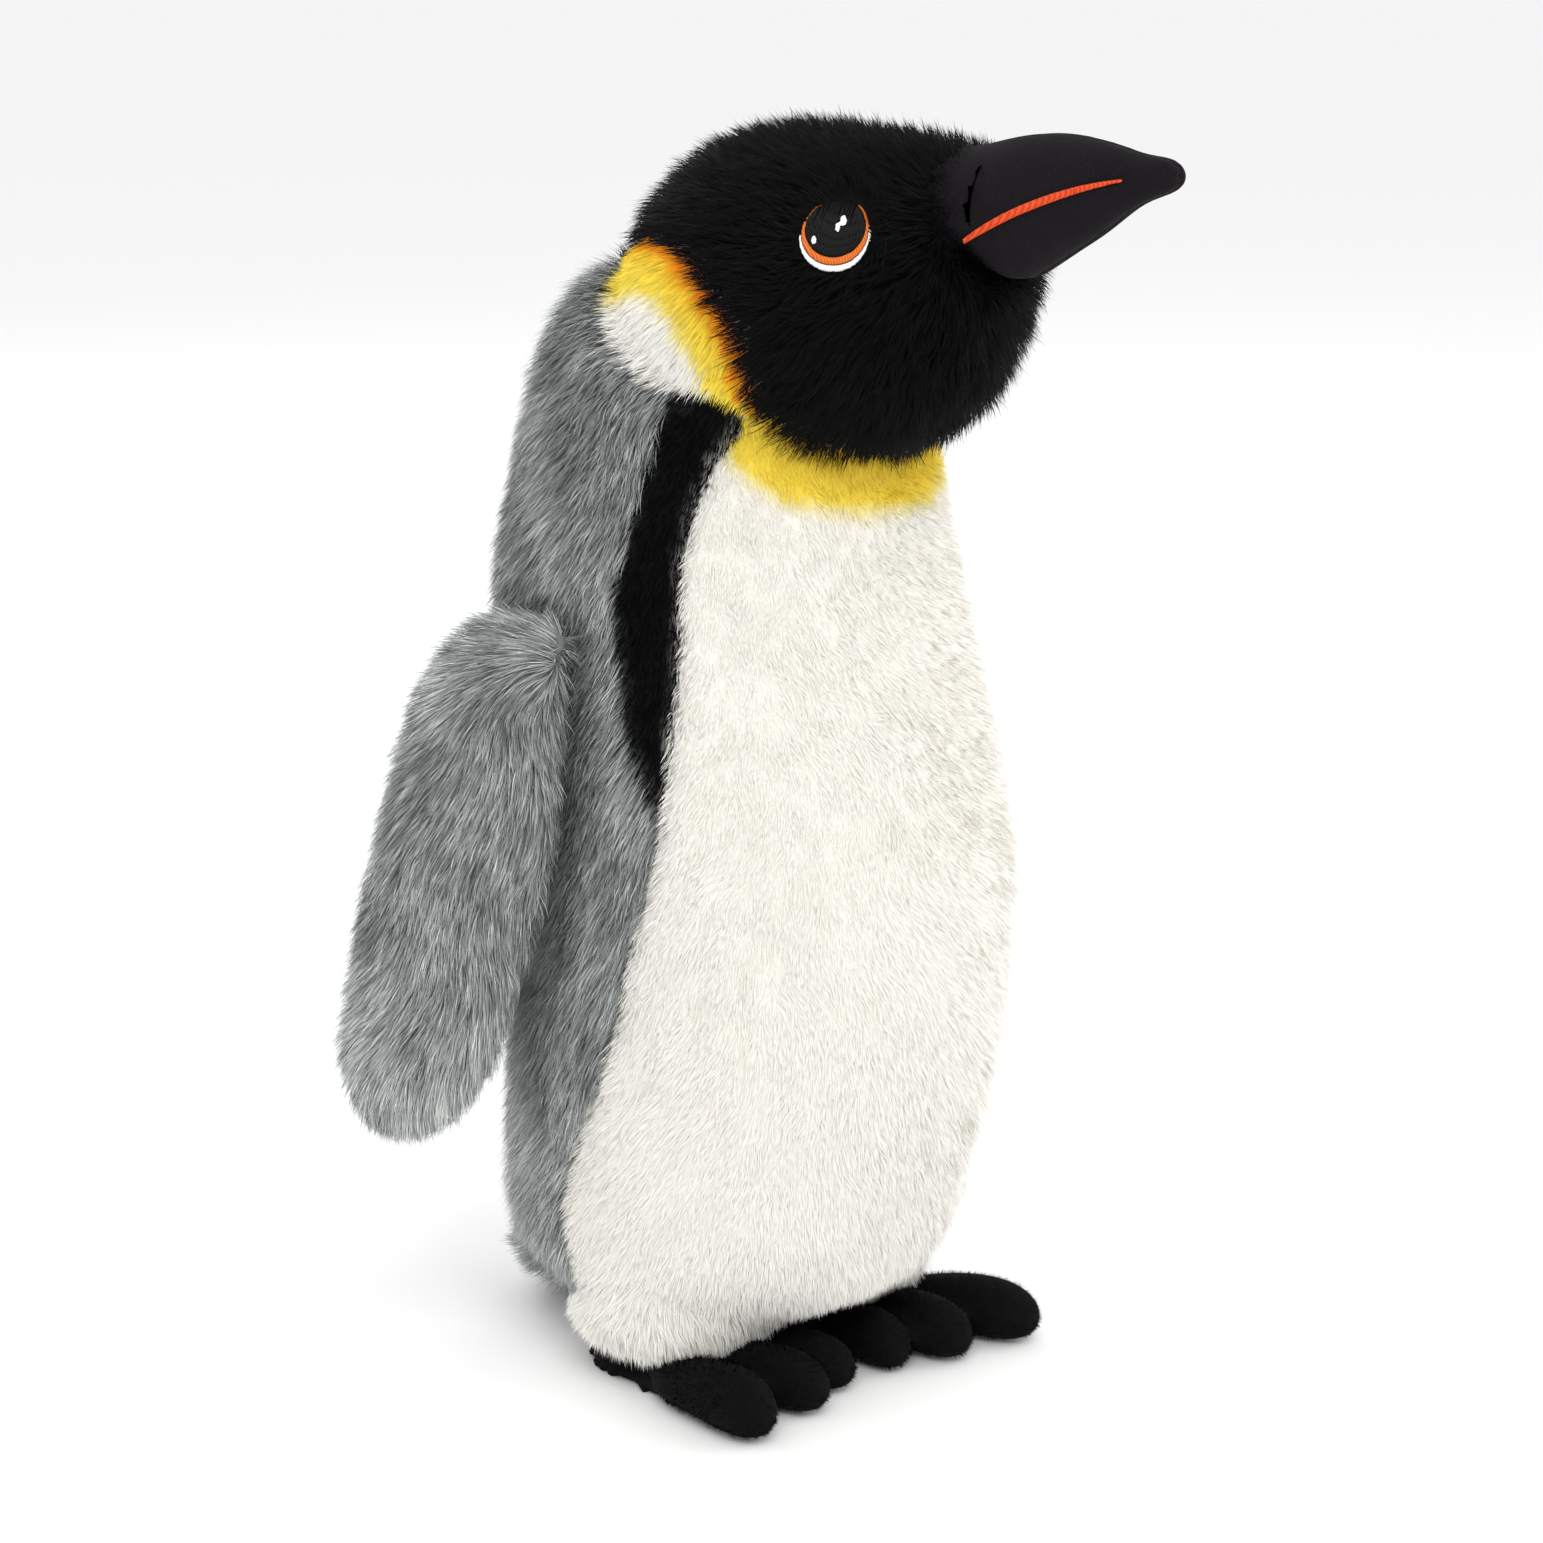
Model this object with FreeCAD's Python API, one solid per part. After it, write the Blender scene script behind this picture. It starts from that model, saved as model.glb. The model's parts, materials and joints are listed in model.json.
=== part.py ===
"""Plush penguin standing on two soft three-toed feet, sewn from pile fabric and stuffed.

Every panel, filling and embroidered patch is a closed solid in its own node.
Millimetres, +Z up. The penguin faces -Y and its own left side is +X.
The forms are laid out about the body axis, then moved so that the origin is the
centre of the bounding box's footprint, on the floor.
"""

import FreeCAD
import Part
import math
import os

Vec = FreeCAD.Vector

# Cloth and padding
PILE = 5.0  # backing plus standing pile of the head and body fabric
FLIPPER_PILE = 3.6
BEAK_CLOTH = 1.5
LEG_PILE = 3.0
FOOT_CLOTH = 2.0
EYE_SUNK = 0.8  # the embroidery lies just under the tips of the pile
THREAD_PROUD = 0.5  # the mouth line stands on the beak cloth
TOP_MARGIN = 320.0  # above everything, for cutting outlines
FRONT_MARGIN = -160.0  # ahead of everything

# Trunk: height, half width, half depth, centre in Y
TRUNK = [
    (16.5, 38.0, 34.0, 2.0),
    (20.5, 46.0, 44.5, 2.0),
    (29.0, 51.0, 53.0, 2.0),
    (45.0, 53.0, 58.5, -0.5),
    (75.0, 54.0, 63.5, -5.5),
    (110.0, 54.5, 66.0, -8.5),
    (140.0, 54.0, 65.0, -7.0),
    (170.0, 53.0, 62.0, -2.0),
    (195.0, 51.5, 58.5, 2.0),
    (213.0, 48.5, 54.5, 2.5),
    (231.0, 44.0, 50.0, 3.5),
    (246.0, 37.5, 43.5, 6.3),
    (257.0, 28.5, 34.0, 10.3),
    (264.0, 18.0, 22.0, 12.8),
    (267.0, 8.0, 10.0, 13.8),
]

# Head: place in Y, half width, underside, top
HEAD = [
    (20.5, 8.0, 250.0, 263.0),
    (15.0, 21.0, 237.0, 276.0),
    (4.0, 32.5, 225.5, 288.5),
    (-11.0, 39.5, 220.0, 296.0),
    (-28.0, 42.0, 219.0, 297.8),
    (-45.0, 41.0, 222.0, 296.8),
    (-60.0, 34.5, 228.0, 296.0),
    (-72.0, 25.5, 238.0, 295.0),
    (-80.0, 17.5, 252.0, 293.0),
    (-84.0, 10.0, 262.0, 289.5),
]

# Beak: place in Y, half width, underside, top
BEAK = [
    (-70.0, 19.0, 261.0, 293.5),
    (-78.0, 17.0, 262.5, 295.0),
    (-86.0, 15.0, 264.5, 297.0),
    (-94.0, 13.5, 268.0, 298.3),
    (-102.0, 11.8, 272.5, 298.5),
    (-110.0, 9.6, 277.0, 297.6),
    (-117.0, 7.0, 281.5, 296.3),
    (-122.0, 5.4, 284.3, 295.3),
    (-127.0, 4.8, 286.2, 294.8),
    (-130.5, 3.6, 287.6, 293.8),
    (-132.3, 1.6, 289.2, 292.0),
]

# Tail stub: place in Y, half width, underside, top
TAIL = [
    (28.0, 24.0, 6.0, 54.0),
    (40.0, 26.0, 4.0, 50.0),
    (50.0, 25.0, 3.0, 42.0),
    (58.5, 20.5, 3.0, 32.0),
    (64.5, 14.5, 4.5, 24.0),
    (68.0, 6.0, 8.0, 17.0),
]

TAIL_SEAM = 13.0

# Flipper: height, centre out from the axis, centre in Y, half chord, half thickness, twist
FLIPPER = [
    (186.0, 54.0, 13.5, 10.0, 1.4, -9.0),
    (184.5, 55.3, 13.8, 16.0, 2.8, -9.0),
    (181.0, 57.8, 14.4, 20.0, 4.6, -8.0),
    (174.0, 60.6, 16.4, 23.4, 6.6, -5.0),
    (162.0, 62.8, 18.6, 24.4, 7.7, 2.0),
    (143.0, 64.9, 21.8, 24.4, 8.1, 10.0),
    (122.0, 67.2, 25.5, 23.9, 8.2, 17.0),
    (101.0, 69.9, 29.4, 22.8, 8.1, 18.0),
    (86.0, 71.8, 32.4, 21.6, 7.8, 18.0),
    (75.0, 73.2, 34.7, 18.6, 7.2, 18.0),
    (67.5, 74.2, 36.3, 13.4, 6.0, 18.0),
    (63.5, 74.7, 37.1, 7.4, 3.8, 18.0),
    (62.0, 74.9, 37.4, 2.6, 1.5, 18.0),
]

# Leg stub: height, half width, half depth, about LEG_X and LEG_Y
LEG_X = 27.0
LEG_Y = -5.0
LEG = [
    (7.5, 14.0, 15.0),
    (9.0, 19.5, 21.0),
    (13.0, 22.5, 24.0),
    (20.0, 23.8, 25.5),
    (29.0, 22.5, 24.5),
]

# Toes: root x, root y, tip x, tip y, half width, height
TOES = [
    (36.5, 3.0, 46.5, -57.0, 9.0, 16.5),
    (27.0, 4.0, 25.0, -54.0, 8.4, 16.0),
    (15.0, 2.0, 9.6, -48.0, 7.6, 15.0),
]
# Toe fullness: share of the length, then shares of the half width, the height and the rise
TOE_SHAPE = [
    (0.0, 0.35, 0.30, 0.18),
    (0.06, 0.65, 0.45, 0.25),
    (0.25, 0.82, 0.62, 0.32),
    (0.50, 0.95, 0.85, 0.43),
    (0.72, 1.00, 1.00, 0.50),
    (0.87, 0.92, 0.93, 0.49),
    (0.96, 0.64, 0.66, 0.46),
    (1.0, 0.26, 0.28, 0.44),
]
HEEL_HALF_WIDTH = 21.0
HEEL_HALF_DEPTH = 24.0
HEEL_HEIGHT = 7.5
HEEL_Y = -4.0
SOLE_HEIGHT = 3.5
SOLE_FLAT = 0.8  # how far the soft foot is pressed flat by the floor

# Seams seen from the side: Y, Z
HEAD_EDGE = [
    (-100.0, 224.0),
    (-62.0, 224.0),
    (-50.0, 225.0),
    (-42.5, 229.0),
    (-40.5, 237.0),
    (-41.0, 247.0),
    (-38.5, 256.0),
    (-32.0, 264.0),
    (-24.0, 270.0),
    (-14.0, 273.0),
    (-4.0, 273.5),
    (8.0, 270.5),
    (20.0, 266.5),
    (34.0, 263.5),
    (62.0, 262.0),
]
PATCH_EDGE = [
    (-46.0, 230.0),
    (-36.0, 236.0),
    (-27.0, 238.5),
    (-17.0, 239.5),
    (-8.0, 242.0),
    (0.0, 246.0),
    (8.0, 250.5),
    (15.0, 255.5),
    (20.0, 261.5),
    (23.0, 270.0),
]
STRIPE_FRONT = [
    (-37.0, 244.0),
    (-31.0, 229.0),
    (-27.5, 217.0),
    (-26.0, 205.0),
    (-27.0, 188.0),
    (-27.5, 170.0),
    (-26.5, 156.0),
    (-25.5, 143.0),
]
STRIPE_BACK = [
    (-25.5, 143.0),
    (-20.5, 151.0),
    (-16.5, 159.0),
    (-13.5, 171.0),
    (-11.0, 184.0),
    (-10.0, 195.0),
    (-11.0, 205.0),
    (-13.0, 217.0),
    (-14.5, 230.0),
    (-15.0, 244.0),
]
SIDE_SEAM = [
    (-22.0, 246.0),
    (-19.0, 215.0),
    (-18.0, 190.0),
    (-20.5, 165.0),
    (-24.0, 150.0),
    (-25.5, 143.0),
    (-22.5, 129.0),
    (-18.5, 115.0),
    (-14.5, 100.0),
    (-10.0, 86.0),
    (-3.5, 74.0),
    (3.0, 63.0),
    (6.5, 52.0),
    (7.5, 42.0),
    (7.5, 27.0),
    (7.0, 5.0),
]

# Eye embroidery on the right of the head: centre and the way it looks
EYE_AT = Vec(-30.7, -60.8, 277.6)
EYE_TURN = 64.0  # degrees from straight ahead
EYE_LIFT = 20.0
EYE_REACH = 9.0
WHITE_RADIUS = 7.9
WHITE_DROP = 1.3
IRIS_RADIUS = 7.6
IRIS_DROP = 0.1
PUPIL_RADIUS = 6.8
PUPIL_RISE = 0.9
# Aside, up, half width, half height
GLINTS = [(1.7, 2.3, 0.85, 1.25), (0.6, 0.8, 0.65, 1.1), (-4.4, -2.3, 0.7, 0.95)]

# Mouth line on the side of the beak: Y, Z, half thickness
MOUTH = [
    (-84.5, 275.2, 0.55),
    (-90.0, 278.4, 0.90),
    (-97.0, 281.9, 1.00),
    (-106.0, 285.5, 0.95),
    (-114.0, 288.1, 0.70),
    (-121.5, 289.8, 0.30),
]

# Base panel and weighted pouch
BASE_HALF_WIDTH = 37.0
BASE_HALF_DEPTH = 33.0
BASE_Y = 2.0
POUCH = [
    (24.5, 26.0, 24.0, 2.0),
    (28.5, 35.0, 32.0, 2.0),
    (36.0, 38.0, 35.0, 2.0),
    (44.0, 35.0, 32.0, 2.0),
    (48.0, 24.0, 22.0, 2.0),
]
POUCH_CLOTH = 1.0

OVAL_POINTS = 24
LEAST_SHARE = 0.35  # what is left of a small section when a form is inset


def shrink(half, inset):
    """A half dimension less the inset, never below a share of itself."""
    return max(half - inset, LEAST_SHARE * half)


def oval(centre, across, up):
    """Closed smooth oval wire about a centre, from its two half axes."""
    points = []
    for index in range(OVAL_POINTS):
        turn = 2.0 * math.pi * index / OVAL_POINTS
        points.append(centre + across * math.cos(turn) + up * math.sin(turn))
    curve = Part.BSplineCurve()
    curve.interpolate(points, PeriodicFlag=True)
    return Part.Wire([curve.toShape()])


def squeeze(values, inset):
    """Places along a form, drawn towards its middle so both ends come in by the inset."""
    middle = (values[0] + values[-1]) / 2.0
    half = abs(values[-1] - values[0]) / 2.0
    share = (half - inset) / half
    return [middle + (value - middle) * share for value in values]


def upright_form(rows, inset):
    """Loft of level ovals: rows of height, half width, half depth, centre in Y."""
    heights = squeeze([row[0] for row in rows], inset)
    wires = []
    for height, row in zip(heights, rows):
        centre = Vec(0.0, row[3], height)
        wires.append(oval(centre, Vec(shrink(row[1], inset), 0, 0), Vec(0, shrink(row[2], inset), 0)))
    return Part.makeLoft(wires, True, False)


def forward_form(rows, inset):
    """Loft of upright ovals: rows of place in Y, half width, underside, top."""
    places = squeeze([row[0] for row in rows], inset)
    wires = []
    for place, row in zip(places, rows):
        centre = Vec(0.0, place, (row[2] + row[3]) / 2.0)
        half_height = shrink((row[3] - row[2]) / 2.0, inset)
        wires.append(oval(centre, Vec(shrink(row[1], inset), 0, 0), Vec(0, 0, half_height)))
    return Part.makeLoft(wires, True, False)


def flipper_section(row, height, inset):
    """Centre, half chord and half thickness of one section of the right flipper, as vectors."""
    twist = math.radians(row[5])
    chord = Vec(-math.sin(twist), math.cos(twist), 0) * shrink(row[3], inset)
    across = Vec(-math.cos(twist), -math.sin(twist), 0) * shrink(row[4], inset)
    return Vec(-row[1], row[2], height), chord, across


def flipper_form(inset):
    """Right flipper: a flat padded blade hanging from the shoulder, turned as it falls."""
    heights = squeeze([row[0] for row in FLIPPER], inset)
    wires = [oval(*flipper_section(row, height, inset)) for height, row in zip(heights, FLIPPER)]
    return Part.makeLoft(wires, True, False)


def flipper_half(side):
    """The outer (+1) or inner (-1) half of the right flipper, split along its chord."""
    wires = []
    for row in FLIPPER:
        centre, chord, across = flipper_section(row, row[0], 0.0)
        points = []
        for index in range(OVAL_POINTS // 2 + 1):
            turn = 2.0 * math.pi * index / OVAL_POINTS
            points.append(centre + chord * math.cos(turn) + across * (side * math.sin(turn)))
        curve = Part.BSplineCurve()
        curve.interpolate(points)
        wires.append(Part.Wire([curve.toShape(), Part.makeLine(points[-1], points[0])]))
    return Part.makeLoft(wires, True, False)


def leg_form(inset):
    """Right leg stub under the belly."""
    heights = squeeze([row[0] for row in LEG], inset)
    wires = []
    for height, row in zip(heights, LEG):
        centre = Vec(-LEG_X, LEG_Y, height)
        wires.append(oval(centre, Vec(shrink(row[1], inset), 0, 0), Vec(0, shrink(row[2], inset), 0)))
    return Part.makeLoft(wires, True, False)


def toe_form(toe, inset):
    """One right toe, fullest near its tip, resting on the floor."""
    root_x, root_y, tip_x, tip_y, half_width, height = toe
    places = squeeze([row[0] * abs(tip_y - root_y) for row in TOE_SHAPE], inset)
    length = abs(tip_y - root_y)
    wires = []
    for place, row in zip(places, TOE_SHAPE):
        share = place / length
        half_height = shrink(height * row[2] / 2.0, inset)
        middle = height * row[3] - SOLE_FLAT
        centre = Vec(-(root_x + (tip_x - root_x) * share), root_y + (tip_y - root_y) * share, middle)
        wires.append(oval(centre, Vec(shrink(half_width * row[1], inset), 0, 0), Vec(0, 0, half_height)))
    return Part.makeLoft(wires, True, False)


def heel_form(inset):
    """Right heel pad joining the toes under the leg."""
    pad = Part.makeSphere(1.0)
    scale = FreeCAD.Matrix()
    scale.scale(HEEL_HALF_WIDTH - inset, HEEL_HALF_DEPTH - inset, HEEL_HEIGHT - inset)
    pad = pad.transformGeometry(scale)
    pad.translate(Vec(-LEG_X, HEEL_Y, 0))
    return pad


def foot_form(inset):
    """Right foot: heel pad and three toes, cut level where it stands."""
    foot = heel_form(inset)
    for toe in TOES:
        foot = foot.fuse(toe_form(toe, inset))
    floor = Part.makeBox(200, 200, 60, Vec(-150, -120, inset))
    return foot.common(floor)


def smooth_edge(points):
    """Smooth curve in the plane X = 0 through Y, Z points."""
    curve = Part.BSplineCurve()
    curve.interpolate([Vec(0, y, z) for y, z in points])
    return curve.toShape()


def side_cutter(seams, corners, half_width):
    """Solid across the whole width whose outline is smooth seams closed by straight corners."""
    edges = [smooth_edge(seam) for seam in seams]
    chain = [seams[-1][-1]] + corners + [seams[0][0]]
    for start, end in zip(chain, chain[1:]):
        if start != end:
            edges.append(Part.makeLine(Vec(0, *start), Vec(0, *end)))
    face = Part.Face(Part.Wire(edges))
    face.translate(Vec(-half_width, 0, 0))
    return face.extrude(Vec(2.0 * half_width, 0, 0))


def side_half(shape, sign):
    """The part of a shape on the left (+1) or on the right (-1)."""
    corner = Vec(0 if sign > 0 else -200, -200, -10)
    return shape.common(Part.makeBox(200, 400, 400, corner))


def mirrored(shape):
    """The same piece on the other side of the penguin."""
    return shape.mirror(Vec(0, 0, 0), Vec(1, 0, 0))


def eye_disc(aside, up, half_width, half_height):
    """Oval rod along the right eye's line of sight, for cutting embroidery."""
    turn = math.radians(EYE_TURN)
    lift = math.radians(EYE_LIFT)
    ahead = Vec(-math.sin(turn) * math.cos(lift), -math.cos(turn) * math.cos(lift), math.sin(lift))
    side = Vec(0, 0, 1).cross(ahead).normalize()
    rise = ahead.cross(side)
    centre = EYE_AT + side * aside + rise * up - ahead * EYE_REACH
    face = Part.Face(oval(centre, side * half_width, rise * half_height))
    return face.extrude(ahead * (2.0 * EYE_REACH))


def mouth_cutter():
    """Solid across the beak with the outline of the curved, tapering mouth line."""
    upper = [(y, z + thick) for y, z, thick in MOUTH]
    lower = [(y, z - thick) for y, z, thick in reversed(MOUTH)]
    edges = [smooth_edge(upper), smooth_edge(lower)]
    edges.append(Part.makeLine(Vec(0, *upper[-1]), Vec(0, *lower[0])))
    edges.append(Part.makeLine(Vec(0, *lower[-1]), Vec(0, *upper[0])))
    face = Part.Face(Part.Wire(Part.__sortEdges__(edges)))
    face.translate(Vec(-60, 0, 0))
    return face.extrude(Vec(120, 0, 0))


def level_slice(shape, bottom, top):
    """The part of a shape between two heights."""
    return shape.common(Part.makeBox(400, 400, top - bottom, Vec(-200, -200, bottom)))


def head_and_body():
    """Head, neck patch, stripe, belly, back and base panels, and what fills them."""
    trunk = upright_form(TRUNK, 0.0)
    head = forward_form(HEAD, 0.0)
    trunk_core = upright_form(TRUNK, PILE)
    head_core = forward_form(HEAD, PILE)
    skin = trunk.fuse(head).cut(trunk_core.fuse(head_core))

    footprint = Part.Face(oval(Vec(0, BASE_Y, 0), Vec(BASE_HALF_WIDTH, 0, 0), Vec(0, BASE_HALF_DEPTH, 0)))
    base_region = footprint.extrude(Vec(0, 0, TRUNK[0][0] + PILE))
    head_region = side_cutter([HEAD_EDGE], [(62.0, TOP_MARGIN), (-100.0, TOP_MARGIN)], 80)
    patch_region = side_cutter([PATCH_EDGE], [(23.0, 290.0), (-60.0, 290.0), (-60.0, 230.0)], 80)
    stripe_region = side_cutter([STRIPE_FRONT, STRIPE_BACK], [], 80)
    belly_region = side_cutter([SIDE_SEAM], [(FRONT_MARGIN, 5.0), (FRONT_MARGIN, 246.0)], 80)

    base = skin.common(base_region)
    rest = skin.cut(base)
    black = rest.common(head_region)
    rest = rest.cut(head_region)
    patch = rest.common(patch_region)
    rest = rest.cut(patch_region)
    stripe = rest.common(stripe_region)
    rest = rest.cut(stripe_region)
    belly = rest.common(belly_region)
    back = rest.cut(belly_region)

    pouch = upright_form(POUCH, 0.0)
    pouch_core = upright_form(POUCH, POUCH_CLOTH)
    pieces = {
        "base_panel": base,
        "belly_panel": belly,
        "body_stuffing": trunk_core.cut(pouch),
        "head_stuffing": head_core.cut(trunk_core),
        "bead_pouch": pouch.cut(pouch_core),
        "bead_filling": pouch_core,
    }
    halves = {"head_panel": black, "neck_patch": patch, "side_stripe": stripe, "back_panel": back}
    return trunk, head, head_core, pieces, halves


def eye_pieces(head_core):
    """Right eye embroidery: white crescent, iris ring, pupil and glints, and its opening."""
    thread = forward_form(HEAD, EYE_SUNK).cut(head_core)
    white = eye_disc(0, -WHITE_DROP, WHITE_RADIUS, WHITE_RADIUS)
    iris = eye_disc(0, -IRIS_DROP, IRIS_RADIUS, IRIS_RADIUS)
    pupil = eye_disc(0, PUPIL_RISE, PUPIL_RADIUS, PUPIL_RADIUS)
    glint = eye_disc(*GLINTS[0])
    for row in GLINTS[1:]:
        glint = glint.fuse(eye_disc(*row))
    opening = white.fuse(iris).fuse(pupil)
    pieces = {
        "eye_white": thread.common(white.cut(iris).cut(pupil)),
        "eye_iris": thread.common(iris.cut(pupil)),
        "eye_pupil": thread.common(pupil.cut(glint)),
        "eye_glint": thread.common(glint),
    }
    return pieces, opening


def beak_pieces(head):
    """Beak panels, the embroidered mouth line and the beak stuffing."""
    beak = forward_form(BEAK, 0.0)
    core = forward_form(BEAK, BEAK_CLOTH)
    shell = beak.cut(core).cut(head)
    line = forward_form(BEAK, -THREAD_PROUD).cut(beak).cut(head).common(mouth_cutter())
    return shell, line, core.cut(head)


def flipper_pieces():
    """Right flipper: outer and inner panels and the padding between them."""
    padding = flipper_form(FLIPPER_PILE)
    return flipper_half(1).cut(padding), flipper_half(-1).cut(padding), padding


def foot_pieces(trunk, leg):
    """Right foot: upper, sole and filling, tucked up against the leg and the body."""
    foot = foot_form(0.0).cut(leg).cut(trunk)
    filling = foot_form(FOOT_CLOTH).cut(leg).cut(trunk)
    shell = foot.cut(filling)
    sole = level_slice(shell, -1.0, SOLE_HEIGHT)
    upper = level_slice(shell, SOLE_HEIGHT, 60.0)
    return upper, sole, filling


def tail_pieces(trunk):
    """Tail stub under the back: upper and lower panels and filling."""
    tail = forward_form(TAIL, 0.0).cut(trunk)
    filling = forward_form(TAIL, PILE).cut(trunk)
    shell = tail.cut(filling)
    return level_slice(shell, TAIL_SEAM, 60.0), level_slice(shell, -1.0, TAIL_SEAM), filling


def main():
    """Build every node and write it as its own file."""
    trunk, head, head_core, pieces, halves = head_and_body()
    eye, eye_opening = eye_pieces(head_core)
    halves["head_panel"] = halves["head_panel"].cut(eye_opening).cut(mirrored(eye_opening))

    beak_shell, mouth_line, beak_core = beak_pieces(head)
    halves["beak_panel"] = beak_shell
    halves["mouth_line"] = mouth_line
    pieces["beak_stuffing"] = beak_core
    tail_upper, tail_lower, tail_filling = tail_pieces(trunk)
    pieces["tail_upper"] = tail_upper
    pieces["tail_lower"] = tail_lower
    pieces["tail_stuffing"] = tail_filling

    right = dict(eye)
    leg = leg_form(0.0)
    leg_core = leg_form(LEG_PILE).cut(trunk)
    right["leg_cuff"] = leg.cut(trunk).cut(leg_core)
    right["leg_stuffing"] = leg_core
    right["flipper_outer"], right["flipper_inner"], right["flipper_padding"] = flipper_pieces()
    right["foot_upper"], right["foot_sole"], right["foot_stuffing"] = foot_pieces(trunk, leg)

    for name, shape in halves.items():
        right[name] = side_half(shape, -1)
    for name, shape in right.items():
        pieces[name + "_right"] = shape
        pieces[name + "_left"] = mirrored(shape)

    footprint_y = (BEAK[-1][0] + TAIL[-1][0]) / 2.0
    os.makedirs("parts", exist_ok=True)
    for name in sorted(pieces):
        piece = pieces[name].copy()
        piece.translate(Vec(0, -footprint_y, 0))
        piece.exportStep("parts/" + name + ".step")
        print(name, len(piece.Solids), round(piece.Volume), piece.isValid())


main()
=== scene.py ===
import json
import math

import bpy
import numpy as np
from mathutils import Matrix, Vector
from mathutils.bvhtree import BVHTree


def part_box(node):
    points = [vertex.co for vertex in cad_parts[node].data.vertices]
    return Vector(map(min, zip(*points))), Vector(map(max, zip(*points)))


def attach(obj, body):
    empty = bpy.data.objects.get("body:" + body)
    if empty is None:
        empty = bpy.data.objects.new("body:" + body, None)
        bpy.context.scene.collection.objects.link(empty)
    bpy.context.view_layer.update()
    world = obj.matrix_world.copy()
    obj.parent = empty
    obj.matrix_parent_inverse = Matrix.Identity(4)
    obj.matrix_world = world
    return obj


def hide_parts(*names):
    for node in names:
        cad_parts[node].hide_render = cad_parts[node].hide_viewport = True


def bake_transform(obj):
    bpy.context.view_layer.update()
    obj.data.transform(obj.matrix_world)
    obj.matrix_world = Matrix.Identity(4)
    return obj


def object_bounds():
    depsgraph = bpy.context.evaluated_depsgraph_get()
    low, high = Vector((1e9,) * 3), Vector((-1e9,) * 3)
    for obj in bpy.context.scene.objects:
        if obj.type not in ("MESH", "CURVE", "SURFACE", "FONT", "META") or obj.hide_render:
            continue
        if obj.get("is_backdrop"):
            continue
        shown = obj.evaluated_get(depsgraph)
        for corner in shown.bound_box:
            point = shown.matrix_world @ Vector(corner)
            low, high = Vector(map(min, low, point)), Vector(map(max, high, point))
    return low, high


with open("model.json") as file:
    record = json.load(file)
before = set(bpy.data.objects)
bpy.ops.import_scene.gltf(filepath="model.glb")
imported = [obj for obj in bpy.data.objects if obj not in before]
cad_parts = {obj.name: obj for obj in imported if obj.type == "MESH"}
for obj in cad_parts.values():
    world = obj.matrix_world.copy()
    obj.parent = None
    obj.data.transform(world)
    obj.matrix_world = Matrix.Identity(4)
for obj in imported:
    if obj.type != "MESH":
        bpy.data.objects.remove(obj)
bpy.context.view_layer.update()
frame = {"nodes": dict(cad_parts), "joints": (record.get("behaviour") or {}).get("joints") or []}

MM = 0.001
nodes = frame["nodes"]
rng = np.random.default_rng(7)


# ---------------------------------------------------------------- arrays and meshes

def unit(v):
    """Rows scaled to length one."""
    return v / np.maximum(np.linalg.norm(v, axis=-1, keepdims=True), 1e-12)


def node_arrays(name):
    """Corners and triangles of a CAD node."""
    mesh = nodes[name].data
    mesh.calc_loop_triangles()
    co = np.empty(len(mesh.vertices) * 3)
    mesh.vertices.foreach_get("co", co)
    tri = np.empty(len(mesh.loop_triangles) * 3, np.int64)
    mesh.loop_triangles.foreach_get("vertices", tri)
    return co.reshape(-1, 3), tri.reshape(-1, 3)


def joined(names):
    """Several CAD nodes as one set of corners and triangles, with the node each triangle came from."""
    corners, triangles, owner, start = [], [], [], 0
    for index, name in enumerate(names):
        co, tri = node_arrays(name)
        corners.append(co)
        triangles.append(tri + start)
        owner.append(np.full(len(tri), index))
        start += len(co)
    return np.vstack(corners), np.vstack(triangles), np.concatenate(owner)


def new_object(name, mesh):
    obj = bpy.data.objects.new(name, mesh)
    bpy.context.scene.collection.objects.link(obj)
    return obj


def build_mesh(name, co, faces, smooth=True):
    """Mesh from corner positions and an array of equal-sized faces."""
    mesh = bpy.data.meshes.new(name)
    faces = np.asarray(faces, np.int32)
    mesh.vertices.add(len(co))
    mesh.vertices.foreach_set("co", np.asarray(co, np.float32).ravel())
    mesh.loops.add(faces.size)
    mesh.loops.foreach_set("vertex_index", faces.ravel())
    mesh.polygons.add(len(faces))
    mesh.polygons.foreach_set("loop_start", np.arange(0, faces.size, faces.shape[1], dtype=np.int32))
    mesh.polygons.foreach_set("loop_total", np.full(len(faces), faces.shape[1], np.int32))
    mesh.update(calc_edges=True)
    mesh.polygons.foreach_set("use_smooth", np.full(len(faces), smooth))
    return mesh


def vertex_normals(co, quads):
    """Area-weighted normals at the corners of quads."""
    a, b, c, d = (co[quads[:, k]] for k in range(4))
    face = np.cross(c - a, d - b)
    out = np.zeros_like(co)
    for k in range(4):
        np.add.at(out, quads[:, k], face)
    return unit(out)


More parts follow.
